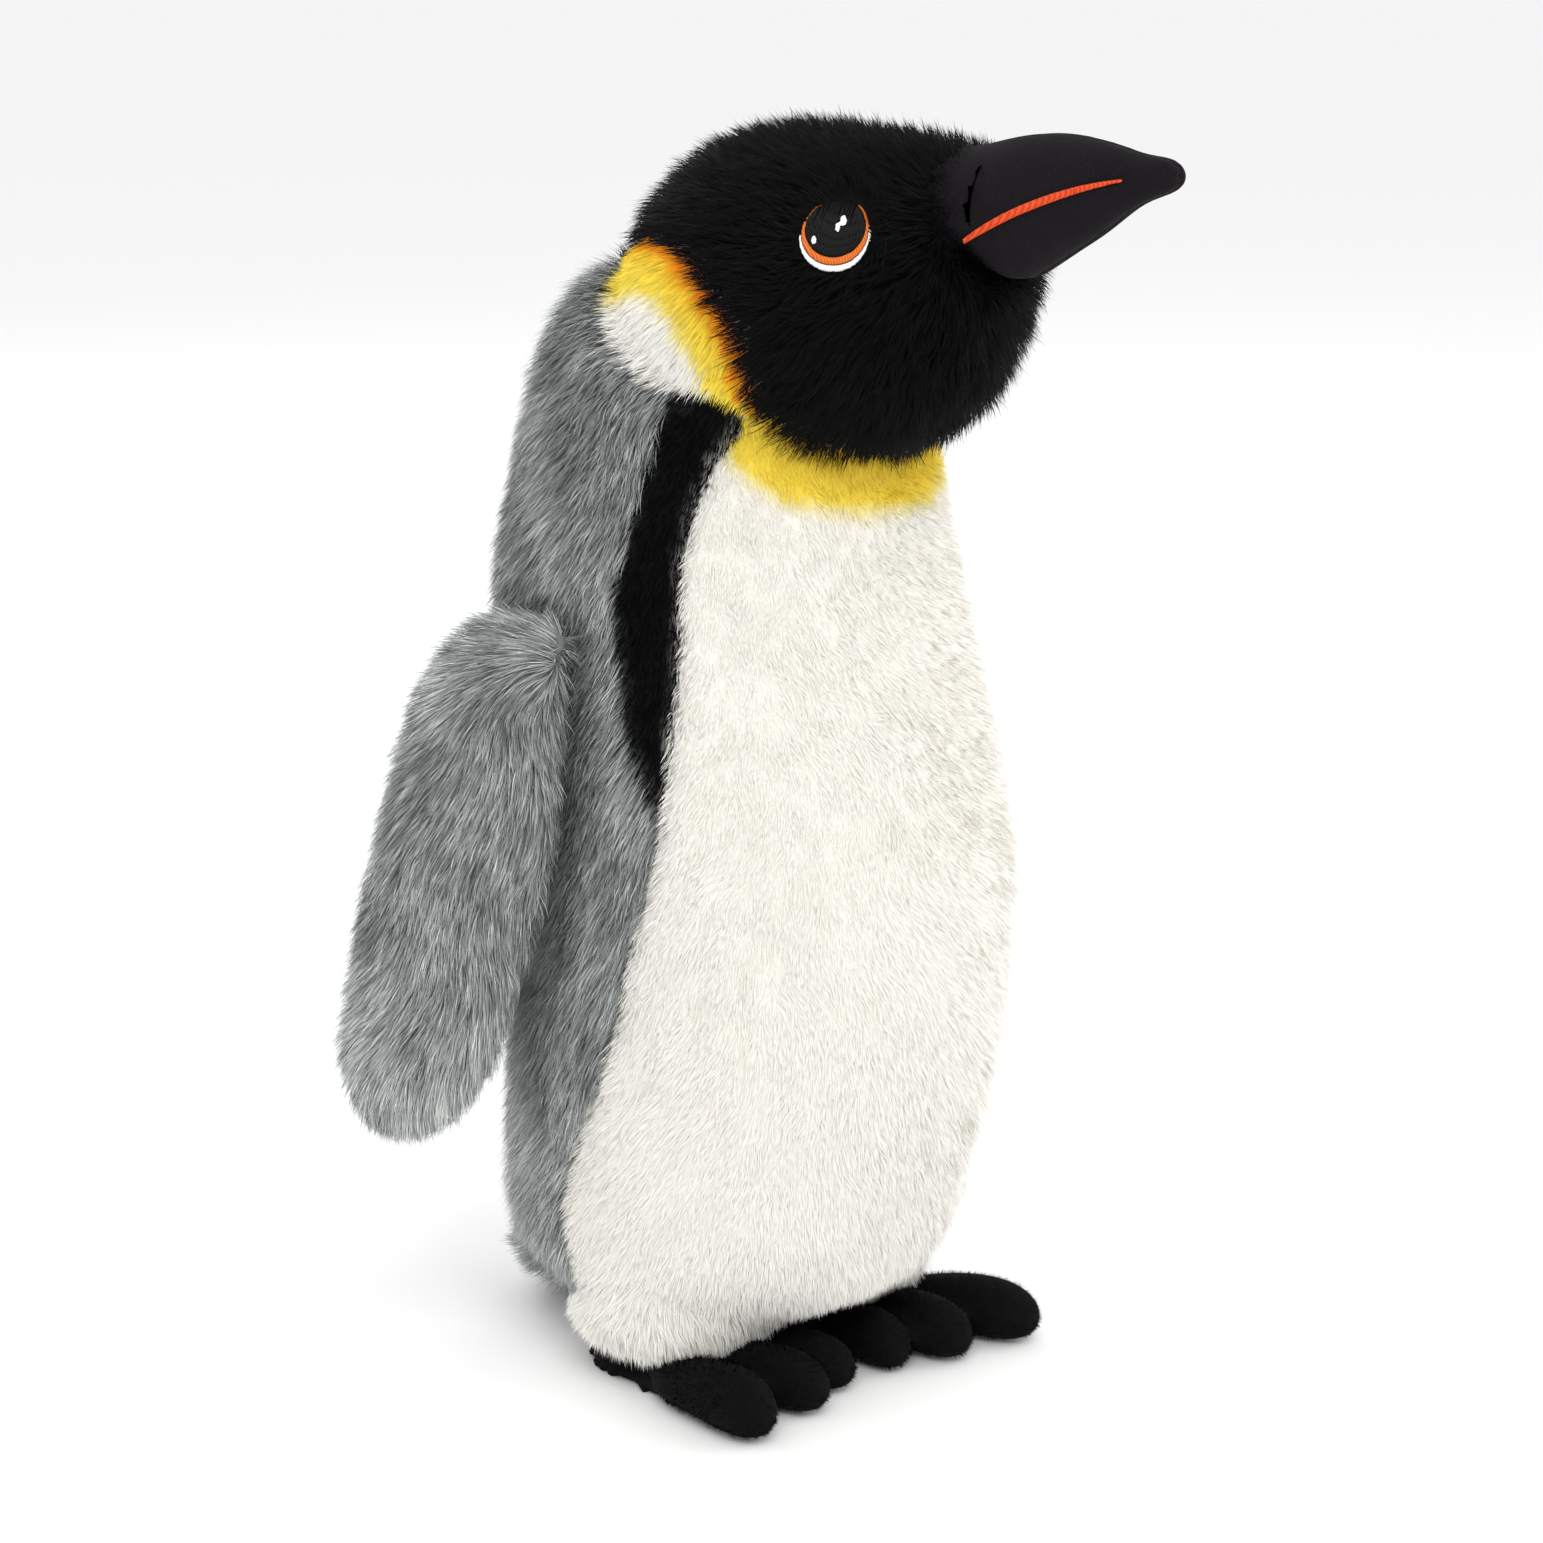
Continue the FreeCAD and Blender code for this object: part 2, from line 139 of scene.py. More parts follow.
class Form:
    """Smooth closed surface over some CAD nodes: the tips of the pile, as quads."""

    def __init__(self, names, voxel, rounds):
        co, tri, _ = joined(names)
        source = bpy.data.meshes.new("form")
        source.from_pydata(co.tolist(), [], tri.tolist())
        obj = new_object("form", source)
        remesh = obj.modifiers.new("remesh", "REMESH")
        remesh.mode = "VOXEL"
        remesh.voxel_size = voxel
        evaluated = obj.evaluated_get(bpy.context.evaluated_depsgraph_get())
        mesh = evaluated.to_mesh()
        self.co = np.empty(len(mesh.vertices) * 3)
        mesh.vertices.foreach_get("co", self.co)
        self.co = self.co.reshape(-1, 3)
        self.quads = np.array([p.vertices[:] for p in mesh.polygons if len(p.vertices) == 4])
        evaluated.to_mesh_clear()
        bpy.data.objects.remove(obj)
        bpy.data.meshes.remove(source)
        self.keep_outside()
        self.relax(rounds)

    def keep_outside(self):
        """Keeps the widest connected surface, without the walls inside it."""
        group = np.arange(len(self.co))
        while True:
            low = group[self.quads].min(axis=1)
            fresh = group.copy()
            for k in range(4):
                np.minimum.at(fresh, self.quads[:, k], low)
            fresh = fresh[fresh]
            if (fresh == group).all():
                break
            group = fresh
        best = max(np.unique(group), key=lambda g: np.ptp(self.co[group == g], axis=0).sum())
        chosen = self.quads[group[self.quads[:, 0]] == best]
        used, flat = np.unique(chosen, return_inverse=True)
        self.co, self.quads = self.co[used], flat.reshape(-1, 4)

    def relax(self, rounds):
        """Evens out the steps of the remesh without shrinking the form."""
        for index in range(rounds * 2):
            self.co += (self.around(self.co) - self.co) * (0.5 if index % 2 == 0 else -0.47)
        self.normal = vertex_normals(self.co, self.quads)

    def around(self, values):
        """Average over the neighbours of each corner."""
        starts = self.quads.ravel()
        ends = np.roll(self.quads, -1, axis=1).ravel()
        count = np.bincount(starts, minlength=len(values))
        flat = values.reshape(len(values), -1)
        mean = [np.bincount(starts, flat[ends, k], len(values)) / count for k in range(flat.shape[1])]
        return np.stack(mean, 1).reshape(values.shape)

    def fill_folds(self, share, rounds):
        """Fills creases where two forms meet, as stuffed cloth would bridge them."""
        for _ in range(rounds):
            step = self.soften(self.co) - self.co
            outward = (step * self.normal).sum(1) > 0
            self.co += step * (share * outward)[:, None]
            self.normal = vertex_normals(self.co, self.quads)

    def soften(self, values):
        """Values at the corners, mixed half and half with their neighbours."""
        return (values + self.around(values)) / 2

    def sew(self, owner, depth, lumps, seed):
        """Draws the form in along the seams between panels and makes its filling a little uneven."""
        lowest = np.full(len(self.co), 10 ** 6)
        highest = np.full(len(self.co), -1)
        for k in range(4):
            np.minimum.at(lowest, self.quads[:, k], owner)
            np.maximum.at(highest, self.quads[:, k], owner)
        seam = (lowest != highest).astype(float)
        seam = self.soften(self.soften(seam))
        uneven = ripple(self.co, 0.035, seed) * 0.7 + ripple(self.co, 0.016, seed + 1) * 0.3
        self.co += self.normal * (uneven * lumps - seam * depth)[:, None]
        self.normal = vertex_normals(self.co, self.quads)

    def scatter(self, density, *fields):
        """Random roots by area, so many per square metre: place, normal and other corner values."""
        tri = np.vstack([self.quads[:, [0, 1, 2]], self.quads[:, [0, 2, 3]]])
        a, b, c = (self.co[tri[:, k]] for k in range(3))
        area = np.linalg.norm(np.cross(b - a, c - a), axis=1) / 2
        count = int(area.sum() * density)
        pick = rng.choice(len(tri), count, p=area / area.sum())
        u, v = rng.random(count), rng.random(count)
        over = u + v > 1
        u[over], v[over] = 1 - u[over], 1 - v[over]
        weights = np.stack([1 - u - v, u, v], 1)
        spread = [(field[tri[pick]] * weights).sum(1) for field in fields]
        weights = weights[:, :, None]
        return (self.co[tri[pick]] * weights).sum(1), unit((self.normal[tri[pick]] * weights).sum(1)), *spread


class Surface:
    """Nearest-point queries against some CAD nodes."""

    def __init__(self, names):
        self.names = names
        co, tri, self.owner = joined(names)
        self.tree = BVHTree.FromPolygons(co.tolist(), tri.tolist())

    def nearest_owner(self, points):
        find = self.tree.find_nearest
        return self.owner[np.fromiter((find(p)[2] for p in points.tolist()), int, len(points))]

    def distance(self, points):
        find = self.tree.find_nearest
        return np.fromiter((find(p)[3] for p in points.tolist()), float, len(points))


def ripple(points, scale, seed):
    """Smooth random value from -1 to 1 over space, with features of about the given size."""
    local = np.random.default_rng(seed)
    total = np.zeros(len(points))
    for _ in range(6):
        direction = unit(local.normal(size=3)) * local.uniform(0.6, 1.5) / scale
        total += np.sin(2 * math.pi * (points @ direction) + local.uniform(0, 2 * math.pi))
    return total / 3.0


def tuft_noise(points, cell, seed, size=3):
    """The same random vector for all points in a jittered cell, so that neighbours lean together."""
    warp = np.stack([ripple(points, cell * 4, seed + k) for k in range(3)], 1) * cell * 0.8
    key = np.floor((points + warp) / cell).astype(np.int64)
    mixed = (key[:, 0] * 73856093) ^ (key[:, 1] * 19349663) ^ (key[:, 2] * 83492791) ^ (seed * 2654435)
    table = np.random.default_rng(seed).normal(size=(4096, size))
    return table[mixed % 4096]


# ---------------------------------------------------------------- pile

def strands(name, roots, normals, comb, length, width, lift, bend, segments, tone, tint, softness):
    """Pile as tapered ribbons. Each leaves the cloth at one angle and lies down to another."""
    count = len(roots)
    comb = unit(comb - normals * (comb * normals).sum(1, keepdims=True))
    side = np.cross(normals, comb)
    roll = rng.uniform(-0.7, 0.7, count)[:, None]
    points, sides, facing = [roots], [], []
    here = roots.copy()
    step = (length / segments)[:, None]
    for k in range(segments):
        angle = (lift + (bend - lift) * (k + 0.5) / segments)[:, None]
        heading = comb * np.cos(angle) + normals * np.sin(angle)
        sides.append(unit(side * np.cos(roll) + np.cross(heading, side) * np.sin(roll)))
        facing.append(unit(np.cross(heading, sides[-1]) * (1 - softness) + normals * softness))
        here = here + heading * step
        points.append(here)
    rows = []
    for k in range(segments):
        half = (width * (1.0 - k / segments) ** 0.55 / 2)[:, None]
        rows += [points[k] + sides[k] * half, points[k] - sides[k] * half]
    rows.append(points[segments])
    per = 2 * segments + 1
    co = np.stack(rows, 1).reshape(-1, 3)
    base = (np.arange(count) * per)[:, None]
    quads = np.vstack([base + 2 * k + np.array([0, 1, 3, 2]) for k in range(segments - 1)])
    tips = base + np.array([per - 3, per - 2, per - 1])
    mesh = bpy.data.meshes.new(name)
    mesh.vertices.add(len(co))
    mesh.vertices.foreach_set("co", co.astype(np.float32).ravel())
    loops = np.concatenate([quads.ravel(), tips.ravel()]).astype(np.int32)
    totals = np.concatenate([np.full(len(quads), 4), np.full(len(tips), 3)]).astype(np.int32)
    mesh.loops.add(len(loops))
    mesh.loops.foreach_set("vertex_index", loops)
    mesh.polygons.add(len(totals))
    mesh.polygons.foreach_set("loop_start", np.concatenate([[0], np.cumsum(totals)[:-1]]).astype(np.int32))
    mesh.polygons.foreach_set("loop_total", totals)
    mesh.update(calc_edges=True)
    mesh.polygons.foreach_set("use_smooth", np.ones(len(totals), bool))
    turned = [facing[min(k // 2, segments - 1)] for k in range(per)]
    mesh.normals_split_custom_set_from_vertices(np.stack(turned, 1).reshape(-1, 3).astype(np.float32))
    along = np.tile(np.array([k // 2 / segments for k in range(2 * segments)] + [1.0]), count)
    for label, values in (("along", along), ("tone", np.repeat(tone, per)), ("tint", np.repeat(tint, per))):
        mesh.attributes.new(label, "FLOAT", "POINT").data.foreach_set("value", values.astype(np.float32))
    cells = int(math.ceil(math.sqrt(count)))
    strand = np.arange(count)
    corner = np.stack([(strand % cells), (strand // cells)], 1)[:, None, :]
    u = np.array([0.25, 0.75] * segments + [0.5])
    v = np.array([0.15 + 0.7 * (k // 2) / segments for k in range(2 * segments)] + [0.85])
    uv = ((corner + np.stack([u, v], 1)[None]) / cells).reshape(-1, 2)
    layer = mesh.uv_layers.new(name="OFBake")
    layer.data.foreach_set("uv", uv[loops].astype(np.float32).ravel())
    return new_object(name, mesh)


# ---------------------------------------------------------------- materials

def material(name):
    mat = bpy.data.materials.new(name)
    mat.use_nodes = True
    tree = mat.node_tree
    return mat, tree, tree.nodes["Principled BSDF"]


def add(tree, kind, **values):
    node = tree.nodes.new(kind)
    for key, value in values.items():
        if key in node.inputs:
            node.inputs[key].default_value = value
        else:
            setattr(node, key, value)
    return node


def ramp(tree, factor, stops):
    """Colour ramp over a factor, from (place, colour) stops."""
    node = tree.nodes.new("ShaderNodeValToRGB")
    items = node.color_ramp.elements
    while len(items) < len(stops):
        items.new(0.5)
    for item, (place, colour) in zip(items, stops):
        item.position = place
        item.color = (*colour, 1.0)
    tree.links.new(factor, node.inputs["Fac"])
    return node.outputs["Color"]


def blend_colour(tree, kind, factor, first, second):
    """Mix of two colours; factor and colours may be sockets or plain values."""
    node = tree.nodes.new("ShaderNodeMix")
    node.data_type = "RGBA"
    node.blend_type = kind
    for socket, value in ((node.inputs[0], factor), (node.inputs[6], first), (node.inputs[7], second)):
        if isinstance(value, bpy.types.NodeSocket):
            tree.links.new(value, socket)
        elif isinstance(value, tuple):
            socket.default_value = (*value, 1.0)
        else:
            socket.default_value = value
    return node.outputs[2]


def pile_material(name, stops, root, sheen, roughness, tints=None, specular=0.25, uneven=0.86):
    """Pile: a colour for each strand, with painted shade darkening it towards its root, and slow patches over
    the cloth.
    """
    mat, tree, shader = material(name)
    tone = add(tree, "ShaderNodeAttribute", attribute_name="tone").outputs["Fac"]
    along = add(tree, "ShaderNodeAttribute", attribute_name="along").outputs["Fac"]
    colour = ramp(tree, tone, stops)
    if tints:
        tint = add(tree, "ShaderNodeAttribute", attribute_name="tint").outputs["Fac"]
        airbrush = ramp(tree, tint, tints)
        colour = blend_colour(tree, "MULTIPLY", 1.0, colour, airbrush)
    place = tree.nodes.new("ShaderNodeTexCoord").outputs["Object"]
    cloud = add(tree, "ShaderNodeTexNoise", Scale=55.0, Detail=3.0)
    tree.links.new(place, cloud.inputs["Vector"])
    patches = ramp(tree, cloud.outputs["Fac"], [(0.3, (uneven, uneven, uneven)), (0.7, (1.0, 1.0, 1.0))])
    colour = blend_colour(tree, "MULTIPLY", 1.0, colour, patches)
    # Painted shade: each strand is darkened towards its root, deep in the pile where shade falls.
    shade = ramp(tree, along, [(0.0, root), (0.55, (1.0, 1.0, 1.0))])
    colour = blend_colour(tree, "MULTIPLY", 1.0, colour, shade)
    tree.links.new(colour, shader.inputs["Base Color"])
    shader.inputs["Roughness"].default_value = roughness
    shader.inputs["Specular IOR Level"].default_value = specular
    shader.inputs["Sheen Weight"].default_value = sheen
    shader.inputs["Sheen Roughness"].default_value = 0.5
    return mat


def cloth_material(name, dark, light, scale, bump, sheen=0.3, roughness=0.85, speck=None):
    """Knitted or brushed cloth: fine mottled colour with a bump at the size of its threads."""
    mat, tree, shader = material(name)
    place = tree.nodes.new("ShaderNodeTexCoord").outputs["Object"]
    fine = add(tree, "ShaderNodeTexNoise", Scale=scale, Detail=4.0, Roughness=0.6)
    tree.links.new(place, fine.inputs["Vector"])
    broad = add(tree, "ShaderNodeTexNoise", Scale=scale / 30, Detail=2.0)
    tree.links.new(place, broad.inputs["Vector"])
    colour = ramp(tree, fine.outputs["Fac"], [(0.3, dark), (0.75, light)])
    slow = ramp(tree, broad.outputs["Fac"], [(0.3, (0.85, 0.85, 0.85)), (0.7, (1.0, 1.0, 1.0))])
    colour = blend_colour(tree, "MULTIPLY", 1.0, colour, slow)
    if speck:
        lint = add(tree, "ShaderNodeTexVoronoi", Scale=scale * 0.35)
        tree.links.new(place, lint.inputs["Vector"])
        mask = ramp(tree, lint.outputs["Distance"], [(0.05, (1.0, 1.0, 1.0)), (0.12, (0.0, 0.0, 0.0))])
        colour = blend_colour(tree, "MIX", mask, colour, speck)
    tree.links.new(colour, shader.inputs["Base Color"])
    rough = add(tree, "ShaderNodeMapRange")
    tree.links.new(fine.outputs["Fac"], rough.inputs["Value"])
    rough.inputs["To Min"].default_value = roughness - 0.1
    rough.inputs["To Max"].default_value = min(roughness + 0.1, 1.0)
    tree.links.new(rough.outputs["Result"], shader.inputs["Roughness"])
    relief = add(tree, "ShaderNodeBump", Strength=0.6, Distance=bump)
    tree.links.new(fine.outputs["Fac"], relief.inputs["Height"])
    tree.links.new(relief.outputs["Normal"], shader.inputs["Normal"])
    shader.inputs["Specular IOR Level"].default_value = 0.1
    shader.inputs["Sheen Weight"].default_value = sheen
    shader.inputs["Sheen Roughness"].default_value = 0.45
    return mat


GREY = [(0.0, (0.050, 0.056, 0.058)), (0.3, (0.17, 0.185, 0.185)),
        (0.65, (0.41, 0.435, 0.425)), (1.0, (0.84, 0.86, 0.83))]
WHITE = [(0.0, (0.905, 0.885, 0.82)), (0.5, (0.94, 0.925, 0.875)), (1.0, (0.96, 0.95, 0.915))]
BLACK = [(0.0, (0.0010, 0.0010, 0.0012)), (0.7, (0.0022, 0.0022, 0.0026)), (1.0, (0.007, 0.007, 0.008))]
AIRBRUSH = [(0.0, (1.0, 1.0, 1.0)), (0.2, (1.0, 0.92, 0.50)), (0.4, (1.0, 0.84, 0.11)),
            (0.62, (1.0, 0.68, 0.04)), (0.84, (1.0, 0.34, 0.015)), (1.0, (0.98, 0.24, 0.012))]


def airbrush(tint):
    """Colour of the airbrushed yellow and orange, for an array of tints."""
    places = [place for place, _ in AIRBRUSH]
    return np.stack([np.interp(tint, places, [colour[k] for _, colour in AIRBRUSH]) for k in range(3)], -1)


def weave_material(name):
    """Backing cloth of the body: its dye is laid on the mesh, with fine threads over it."""
    mat, tree, shader = material(name)
    dye = add(tree, "ShaderNodeAttribute", attribute_name="dye").outputs["Color"]
    place = tree.nodes.new("ShaderNodeTexCoord").outputs["Object"]
    threads = add(tree, "ShaderNodeTexNoise", Scale=2600.0, Detail=4.0, Roughness=0.6)
    tree.links.new(place, threads.inputs["Vector"])
    weave = ramp(tree, threads.outputs["Fac"], [(0.3, (0.84, 0.84, 0.84)), (0.75, (1.0, 1.0, 1.0))])
    tree.links.new(blend_colour(tree, "MULTIPLY", 1.0, dye, weave), shader.inputs["Base Color"])
    relief = add(tree, "ShaderNodeBump", Strength=0.5, Distance=0.0002)
    tree.links.new(threads.outputs["Fac"], relief.inputs["Height"])
    tree.links.new(relief.outputs["Normal"], shader.inputs["Normal"])
    shader.inputs["Roughness"].default_value = 0.92
    shader.inputs["Specular IOR Level"].default_value = 0.1
    return mat


DYES = {"grey": (0.17, 0.18, 0.18), "white": (0.92, 0.905, 0.86), "black": (0.0025, 0.0025, 0.003)}
# The third value of each is the painted shade at the roots of its strands.
pile = {
    "grey": pile_material("grey_pile", GREY, (0.5, 0.5, 0.5), 0.1, 0.8, None, 0.15, 0.9),
    "white": pile_material("white_pile", WHITE, (0.96, 0.95, 0.93), 0.0, 0.95, AIRBRUSH, 0.1, 0.98),
    "black": pile_material("black_pile", BLACK, (0.6, 0.6, 0.6), 0.0, 0.6, None, 0.07),
    "velvet": pile_material("velvet_pile", BLACK, (0.5, 0.5, 0.5), 0.0, 0.65, None, 0.09),
}
backing = {
    "weave": weave_material("body_weave"),
    "velvet": cloth_material("velvet_backing", (0.0012, 0.0012, 0.0014), (0.0035, 0.0035, 0.004),
                             2200, 0.0003, 0.0),
    "beak": cloth_material("beak_cloth", (0.0045, 0.0036, 0.0046), (0.0125, 0.0100, 0.0125),
                           3400, 0.0002, 0.0, 0.9, (0.045, 0.040, 0.042)),
    "fill": cloth_material("fibre_fill", (0.75, 0.75, 0.74), (0.92, 0.92, 0.91), 400, 0.001),
    "pouch": cloth_material("pouch_cloth", (0.60, 0.58, 0.52), (0.74, 0.72, 0.66), 3000, 0.0002),
    "beads": cloth_material("bead_fill", (0.70, 0.70, 0.68), (0.85, 0.85, 0.83), 900, 0.001, 0.0, 0.4),
}


# ---------------------------------------------------------------- fabric panels

CLOTH_THICKNESS = 0.9 * MM
SMALL_TUFT = 2.6 * MM
BROAD_TUFT = 7 * MM
MOST_STRANDS = {2: 62000, 3: 38000}  # in one object, by segments of a strand


def skin_piece(form, name, faces, depth, mat, body, dye=None):
    """Backing cloth of one panel: its faces of the form, set in by the depth of the pile there."""
    used, flat = np.unique(form.quads[faces], return_inverse=True)
    co = form.co[used] - form.normal[used] * depth[used][:, None]
    obj = new_object(name, build_mesh(name, co, flat.reshape(-1, 4)))
    if dye is not None:
        rgba = np.hstack([dye[used], np.ones((len(used), 1))]).astype(np.float32)
        obj.data.attributes.new("dye", "FLOAT_COLOR", "POINT").data.foreach_set("color", rgba.ravel())
    thick = obj.modifiers.new("cloth", "SOLIDIFY")
    thick.thickness = CLOTH_THICKNESS
    thick.offset = -1.0
    obj.data.materials.append(mat)
    if body:
        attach(obj, body)
    return obj


def filling_piece(name, co, quads, replaced):
    """Stuffing under the cloth, in place of the CAD fillings."""
    obj = new_object(name, build_mesh(name, co, quads))
    obj.data.materials.append(backing["fill"])
    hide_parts(*replaced)
    return obj


def comb_field(down, away, noise, swirl, roots, normals):
    """Lie of the pile: a main direction turned by slow swirls and by tufts."""
    lie = unit(down - normals * (down * normals).sum(1, keepdims=True))
    turn = (ripple(roots, 0.05, away) * swirl)[:, None]
    lie = lie * np.cos(turn) + np.cross(normals, lie) * np.sin(turn)
    small = tuft_noise(roots, SMALL_TUFT, away + 11) * noise
    return lie + small + tuft_noise(roots, BROAD_TUFT, away + 23) * noise * 0.6


class Style:
    """How one fabric's pile stands: lengths in metres, angles in radians."""

    def __init__(self, key, depth, length, width, lift, bend, segments, noise, keep, spread, softness):
        self.key, self.depth = key, depth
        self.length, self.width, self.lift, self.bend = length, width, lift, bend
        self.segments, self.noise, self.keep = segments, noise, keep
        self.spread, self.softness = spread, softness


# Depth under the tips, length, width, lift at the root, lift at the tip, segments, tuft noise,
# share of roots kept, spread of the angles, softness of the shading.
BACK = Style("grey", 3.8 * MM, 7.4 * MM, 0.23 * MM, 0.95, 0.30, 3, 0.11, 0.85, 0.20, 0.4)
BLADE = Style("grey", 2.4 * MM, 7.0 * MM, 0.22 * MM, 0.75, 0.22, 3, 0.10, 1.0, 0.18, 0.4)
BELLY = Style("white", 2.1 * MM, 3.3 * MM, 0.20 * MM, 1.2, 0.65, 2, 0.20, 1.0, 0.16, 0.5)
HEAD = Style("black", 4.2 * MM, 7.2 * MM, 0.26 * MM, 1.05, 0.40, 3, 0.22, 0.75, 0.26, 0.4)
PATCH = Style("white", 2.6 * MM, 4.2 * MM, 0.22 * MM, 1.05, 0.45, 2, 0.16, 1.0, 0.18, 0.5)
STRIPE = Style("black", 2.8 * MM, 3.8 * MM, 0.24 * MM, 1.05, 0.5, 2, 0.12, 0.85, 0.16, 0.4)
CUFF = Style("white", 2.1 * MM, 4.4 * MM, 0.21 * MM, 1.0, 0.60, 2, 0.26, 1.0, 0.22, 0.5)
VELVET = Style("velvet", 1.3 * MM, 1.5 * MM, 0.18 * MM, 1.25, 0.95, 2, 0.3, 1.0, 0.16, 0.4)


def grow(name, style, roots, normals, comb, depth, body, shorter=None, tint=None, blend=None,
         paler=0.0, stand=0.0):
    """Pile objects for one panel, split so that none is too heavy."""
    count = len(roots)
    if count == 0:
        return
    patches = 0.10 * ripple(roots, 6 * MM, 5) + 0.08 * ripple(roots, 30 * MM, 6)
    tone = np.clip(0.5 + paler + 0.19 * rng.normal(size=count) + patches, 0, 1)
    uneven = 0.14 * rng.normal(size=count) + 0.10 * ripple(roots, 9 * MM, 8)
    length = style.length * np.clip(1 + uneven, 0.5, 1.45)
    if shorter is not None:
        length = length * shorter
    tint = np.zeros(count) if tint is None else tint
    lift = style.lift + stand + style.spread * rng.normal(size=count)
    bend = style.bend + stand + style.spread * rng.normal(size=count)
    width = style.width * rng.uniform(0.75, 1.25, count)
    feet = roots - normals * depth[:, None]
    parts = int(math.ceil(count / MOST_STRANDS[style.segments]))
    order = np.argsort(roots[:, 2])[::-1]
    for index, share in enumerate(np.array_split(order, parts)):
        label = name if parts == 1 else f"{name}_{index + 1}"
        obj = strands(label, feet[share], normals[share], comb[share], length[share], width[share],
                      lift[share], bend[share], style.segments, tone[share], tint[share], style.softness)
        obj.data.materials.append(pile[style.key])
        if blend:
            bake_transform(obj)
        else:
            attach(obj, body)


# ---------------------------------------------------------------- torso

SIDES = ("left", "right")
EYE_PARTS = ("white", "iris", "pupil", "glint")
MIDDLE_PANELS = {"belly_panel": (BELLY, "white_pile"), "base_panel": (BELLY, "white_pile"),
                 "tail_upper": (BACK, "grey_pile"), "tail_lower": (BACK, "grey_pile")}
SIDE_PANELS = {"back_panel": (BACK, "grey_pile"), "side_stripe": (STRIPE, "black_pile"),
               "head_panel": (HEAD, "black_pile"), "neck_patch": (PATCH, "yellow_pile"),
               "leg_cuff": (CUFF, "white_pile")}
panels = dict(MIDDLE_PANELS)
for side in SIDES:
    panels.update({f"{panel}_{side}": look for panel, look in SIDE_PANELS.items()})
torso_outer = list(panels)
styles = {name: style for name, (style, _) in panels.items()}
torso_fill = ["body_stuffing", "head_stuffing", "tail_stuffing", "leg_stuffing_left", "leg_stuffing_right"]
torso_inside = torso_fill + ["bead_pouch", "bead_filling"]
eye_nodes = [f"eye_{part}_{side}" for part in EYE_PARTS for side in SIDES]

torso = Form(torso_outer + torso_inside + eye_nodes, voxel=2.4 * MM, rounds=6)
torso_surface = Surface(torso_outer + eye_nodes)
head_surface = Surface([f"head_panel_{side}" for side in SIDES])
beak_surface = Surface(["beak_panel_left", "beak_panel_right"])
face_owner = torso_surface.nearest_owner(torso.co[torso.quads].mean(1))

# The belly runs down into the legs without a crease, between these heights and off the middle.
LEG_BLEND_TOP = 48 * MM
LEG_BLEND_FOOT = 9 * MM
CROTCH = 7 * MM
blended = np.clip((LEG_BLEND_TOP - torso.co[:, 2]) / (12 * MM), 0, 1)
blended *= np.clip((torso.co[:, 2] - LEG_BLEND_FOOT) / (3 * MM), 0, 1)
blended *= np.clip((np.abs(torso.co[:, 0]) - CROTCH) / (6 * MM), 0, 1)
torso.fill_folds(blended, rounds=260)
legs = [torso_outer.index(f"leg_cuff_{side}") for side in SIDES]
sewn = np.minimum(face_owner, len(torso_outer))
sewn[np.isin(face_owner, legs)] = torso_outer.index("belly_panel")
torso.sew(sewn, depth=0.9 * MM, lumps=0.6 * MM, seed=90)

eye_mid = {}
for side in SIDES:
    low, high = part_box(f"eye_pupil_{side}")
    eye_mid[side] = np.array((low + high) / 2)
EYE_EDGE = 8.6 * MM


def near_eye(points):
    """Distance to the middle of the nearer eye."""
    return np.minimum(*[np.linalg.norm(points - eye_mid[side], axis=1) for side in SIDES])


def pile_depth(form, owner, filling, limits):
    """How far the cloth lies under the tips at each corner: by fabric, and never through the filling."""
    depth = np.zeros(len(form.co))
    for k in range(4):
        np.maximum.at(depth, form.quads[:, k], limits[owner])
    for _ in range(3):
        depth = form.soften(depth)
    return np.minimum(depth, 0.6 * filling.distance(form.co) + 0.1 * MM)


limits = np.array([styles[name].depth for name in torso_outer] + [HEAD.depth] * len(eye_nodes))
depth = pile_depth(torso, face_owner, Surface(torso_fill), limits)

# The pile is clipped short round the eyes and the beak, and stands up against the beak's edge.
BEAK_CLIP = 0.4
CHEEK_DROP = 19 * MM
beak_low, beak_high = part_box("beak_panel_right")
by_beak = np.clip((beak_surface.distance(torso.co) - 0.5 * MM) / (6 * MM), 0, 1)
cheek = np.clip((beak_high.z - CHEEK_DROP - torso.co[:, 2]) / (9 * MM), 0, 1)
by_eye = np.clip((near_eye(torso.co) - EYE_EDGE) / (7 * MM), 0, 1)
trim = np.minimum(by_eye, np.maximum(np.maximum(by_beak, BEAK_CLIP), cheek))
upright = (1 - by_beak) * (0.55 + 0.45 * cheek)
depth *= 0.25 + 0.75 * trim
from_head = head_surface.distance(torso.co)


def patch_tint(distance, points):
    """Airbrushing on the neck patch: orange at the black seam, then yellow, then white."""
    behind = np.clip((points[:, 1] - 12 * MM) / (20 * MM), 0, 1)
    return np.interp(distance / MM + 2.5 * behind, [0.0, 2.8, 4.4, 6.2, 12.5, 15.0, 18.0],
                     [0.95, 0.84, 0.66, 0.50, 0.42, 0.14, 0.0])


def throat_tint(distance):
    """Airbrushing on the throat: a yellow band under the head."""
    return np.interp(distance / MM, [0.0, 3.5, 10.5, 12.5, 15.5], [0.62, 0.48, 0.41, 0.14, 0.0])


